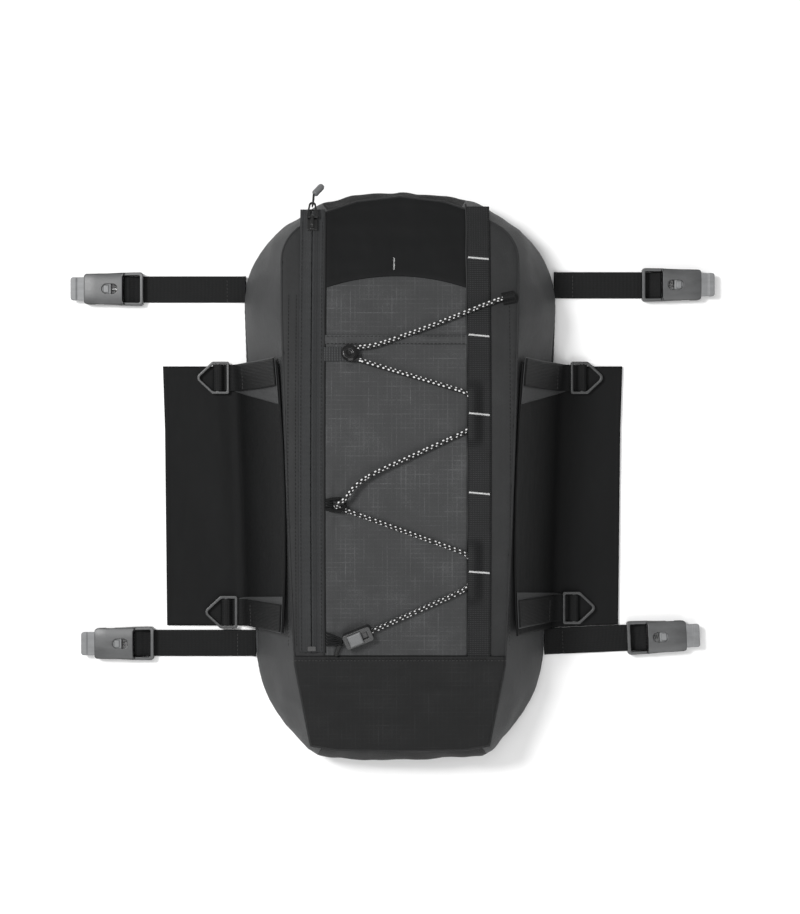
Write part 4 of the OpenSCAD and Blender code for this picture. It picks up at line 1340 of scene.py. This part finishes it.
def strap_point(key, u, v, z):
    side, y0, _, turn, root = STRAPS[key]
    a = math.radians(turn)
    x = root + u * math.cos(a) - v * math.sin(a)
    return point(side * x, y0 + u * math.sin(a) + v * math.cos(a), z)


def strap_length(key):
    _, _, inner, turn, root = STRAPS[key]
    return (inner - root) / math.cos(math.radians(turn))


def straps():
    for k, key in enumerate(STRAPS):
        body, reach = "strap_" + key, strap_length(key)
        across = (strap_point(key, 0, 1, 0) - strap_point(key, 0, 0, 0)).normalized()
        side = STRAPS[key][0]

        def height(u, k=k):
            return 1.25 + 0.5 * (1 + wave(u, 10.0 * k, 21, 60 + k)) * bump(u - reach / 2, reach / 3)

        route = [(0.6, 4.6), (2.0, 3.2), (4.2, 1.6), (6.5, 1.3)]
        route += [(u, height(u)) for u in np.arange(9, reach - 2, 3.0)]
        route += [(reach + 1, 1.25), (reach + 7, 1.25), (reach + 11.5, 2.6), (reach + 15.5, 4.2),
                  (reach + 19.0, 4.4)]
        path = smooth_path([strap_point(key, u, 0, z) for u, z in route], 0.0016)
        band = ribbon("strap_webbing_" + key, path, [across * side] * len(path), STRAP_W * MM,
                      WEB_T * MM, 0.0003, 70.0 + k)
        finish_piece(band, WEBBING, "webbing", body, ["strap_" + key])
        row = [strap_point(key, 18 + 0.15 * math.sin(j), -11.5 + j, height(18) + 0.95)
               for j in range(24)]
        stitches("strap_row_" + key, row, body, GREY_THREAD, radius=0.0002)
        for v, name in ((-10.4, "a"), (10.4, "b")):
            row = [strap_point(key, u, v, height(u) + 0.95) for u in np.arange(7, 18, 2.0)]
            stitches("strap_edge_%s_%s" % (key, name), row, body, DARK_THREAD, radius=0.0002)


def lock_webbings():
    """The short webbing that goes round each ladder lock's middle bar."""
    low, high = 3.7, 8.45
    for key, side, y in (("ul", -1, LASH_Y[-1][0]), ("ll", -1, LASH_Y[-1][1]),
                         ("ur", 1, LASH_Y[1][0]), ("lr", 1, LASH_Y[1][1])):
        x0 = EDGE_X + y * EDGE_TAN + LOCK_START
        route = [(0.3, low), (3.2, low), (5.6, low + 0.6), (8.2, high - 0.7), (10.4, high),
                 (12.8, high), (14.4, high - 1.2), (15.7, low + 0.3)]
        path = smooth_path([point(side * (x0 + u), y, z) for u, z in route], 0.0007)
        band = ribbon("lock_loop_" + key, path, [Vector((0, side, 0))] * len(path), 0.0249,
                      WEB_T * MM, 0.0002, 80.0)
        finish_piece(band, WEBBING, "webbing", node_body("lock_webbing_" + key),
                     ["lock_webbing_" + key])


# ---- Moulded and metal parts, made from the CAD shapes ----
def node_body(node):
    return frame["nodes"][node]["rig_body"]


def moulded(node, material, slot, voxel, rounds, shape=None):
    """A copy of a CAD node with its edges rounded off as moulding leaves them."""
    mesh = frame["nodes"][node].data.copy()
    work = bmesh.new()
    work.from_mesh(mesh)
    bmesh.ops.remove_doubles(work, verts=work.verts, dist=1e-6)
    work.to_mesh(mesh)
    work.free()
    obj = linked(node + "_moulded", mesh)
    remesh = obj.modifiers.new("remesh", "REMESH")
    remesh.mode = "VOXEL"
    remesh.voxel_size = voxel
    relax = obj.modifiers.new("relax", "SMOOTH")
    relax.factor = 0.5
    relax.iterations = rounds
    apply_modifiers(obj)
    if shape:
        for v in obj.data.vertices:
            v.co = shape(v.co)
    obj.data.polygons.foreach_set("use_smooth", [True] * len(obj.data.polygons))
    return finish_piece(obj, material, slot, node_body(node), [node])


def gate_spring(key, out):
    """The gate's return spring, as a copy of the CAD coil."""
    node = "gate_spring_" + key
    mesh = frame["nodes"][node].data.copy()
    coil = linked(node + "_coil", mesh)
    finish_piece(coil, SPRING_STEEL, "spring_steel", node_body(node), [node])
    reach = [v.co.dot(out) for v in mesh.vertices]
    fixed = mesh.vertices[reach.index(min(reach))].co
    tuple(fixed)
    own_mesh(coil)


def clips():
    for key in STRAPS:
        origin, reach = strap_point(key, 0, 0, 0), strap_length(key)
        out = (strap_point(key, 1, 0, 0) - origin).normalized()
        across = (strap_point(key, 0, 1, 0) - origin).normalized()

        def crowned(co, origin=origin, reach=reach, out=out, across=across):
            """Lowers the top towards the sides and the nose, so that it reads as a lens."""
            u = (co - origin).dot(out) / MM - reach
            v = (co - origin).dot(across) / MM
            z = co.z / MM
            top = min(max((z - 8.0) / 5.2, 0), 1)
            drop = 1.9 * (abs(v) / 15.8) ** 3 + 1.0 * min(max((u - 44) / 12, 0), 1) ** 2
            if u < 19.5:
                drop *= 0.6
            waist = 1 - 0.035 * math.exp(-((u - 30) / 16) ** 2)
            moved = co + across * (v * (waist - 1)) * MM
            return Vector((moved.x, moved.y, (z - drop * top) * MM))

        housing = moulded("clip_housing_" + key, CLIP_TOP_HIGHLIGHT_PLASTIC, "dark_plastic", 0.00055, 3, crowned)
        housing.data.materials.append(CLIP_FLANK_SHADE_PLASTIC)
        # Faces that look straight up take the lighter copy as a painted highlight, all other faces take
        # the darker copy as painted shade.
        for face in housing.data.polygons:
            face.material_index = 0 if face.normal.z > 0.95 else 1
        moulded("clip_gate_" + key, LIGHT_PLASTIC, "light_plastic", 0.0005, 2)
        moulded("ladder_lock_" + key, LOCK_PLASTIC, "dark_plastic", 0.00042, 7)
        gate_spring(key, out)


def small_parts():
    moulded("cord_hook", GLOSS_PLASTIC, "dark_plastic", 0.0003, 3)
    moulded("cord_lock_body", CORD_LOCK_PLASTIC, "dark_plastic", 0.00032, 3)
    moulded("cord_lock_button", BUTTON_PLASTIC, "light_plastic", 0.0003, 2)
    moulded("zip_slider", BLACK_METAL, "black_metal", 0.00026, 2)
    moulded("pull_ring", BLACK_METAL, "black_metal", 0.00022, 3)
    moulded("pull_cord", CORD_OBJECT, "shock_cord", 0.00022, 2)
    moulded("pull_tip", TIP_PLASTIC, "dark_plastic", 0.0003, 2)
    moulded("zip_stops", BLACK_METAL, "black_metal", 0.00025, 2)
    foam = frame["nodes"]["foam_sheet"]
    foam.data.materials.clear()
    foam.data.materials.append(FOAM)


straps()
lock_webbings()
clips()
small_parts()


# ---- Floor and light ----
FLOOR_HALF, FLOOR_DROP = 4.0, 0.0003
SKY_STRENGTH = 0.5
# Each light's name, place in metres, size and power
LIGHTS = [("key", (-1.2, 0.7, 2.3), 0.7, 54), ("fill", (0.3, -1.6, 2.1), 1.8, 22),
          ("top", (-0.3, 0.3, 2.9), 1.2, 12)]


def floor_and_light():
    floor = make("floor", [(x, y, -FLOOR_DROP) for x, y in box2(-FLOOR_HALF, FLOOR_HALF, -FLOOR_HALF,
                                                              FLOOR_HALF)], [(0, 1, 2, 3)])
    paper = Nodes("floor_paper", 0.9, specular=0.1)
    fibre = paper.noise(paper.coords("Object"), 40.0, 3.0)
    paper.colour(paper.ramp(fibre, [(0.3, grey(0.90)), (0.7, grey(0.92))]))
    floor.data.materials.append(paper.material)
    world = bpy.data.worlds.new("world")
    bpy.context.scene.world = world
    world.use_nodes = True
    sky = world.node_tree.nodes["Background"]
    sky.inputs["Color"].default_value = (1, 1, 1, 1)
    sky.inputs["Strength"].default_value = SKY_STRENGTH
    bpy.context.scene.view_settings.view_transform = "Standard"
    for name, place, size, power in LIGHTS:
        data = bpy.data.lights.new(name, "AREA")
        data.shape = "DISK"
        data.size = size
        data.energy = power
        lamp = linked(name, data)
        lamp.location = place
        lamp.rotation_euler = (-Vector(place)).to_track_quat("-Z", "Y").to_euler()


floor_and_light()
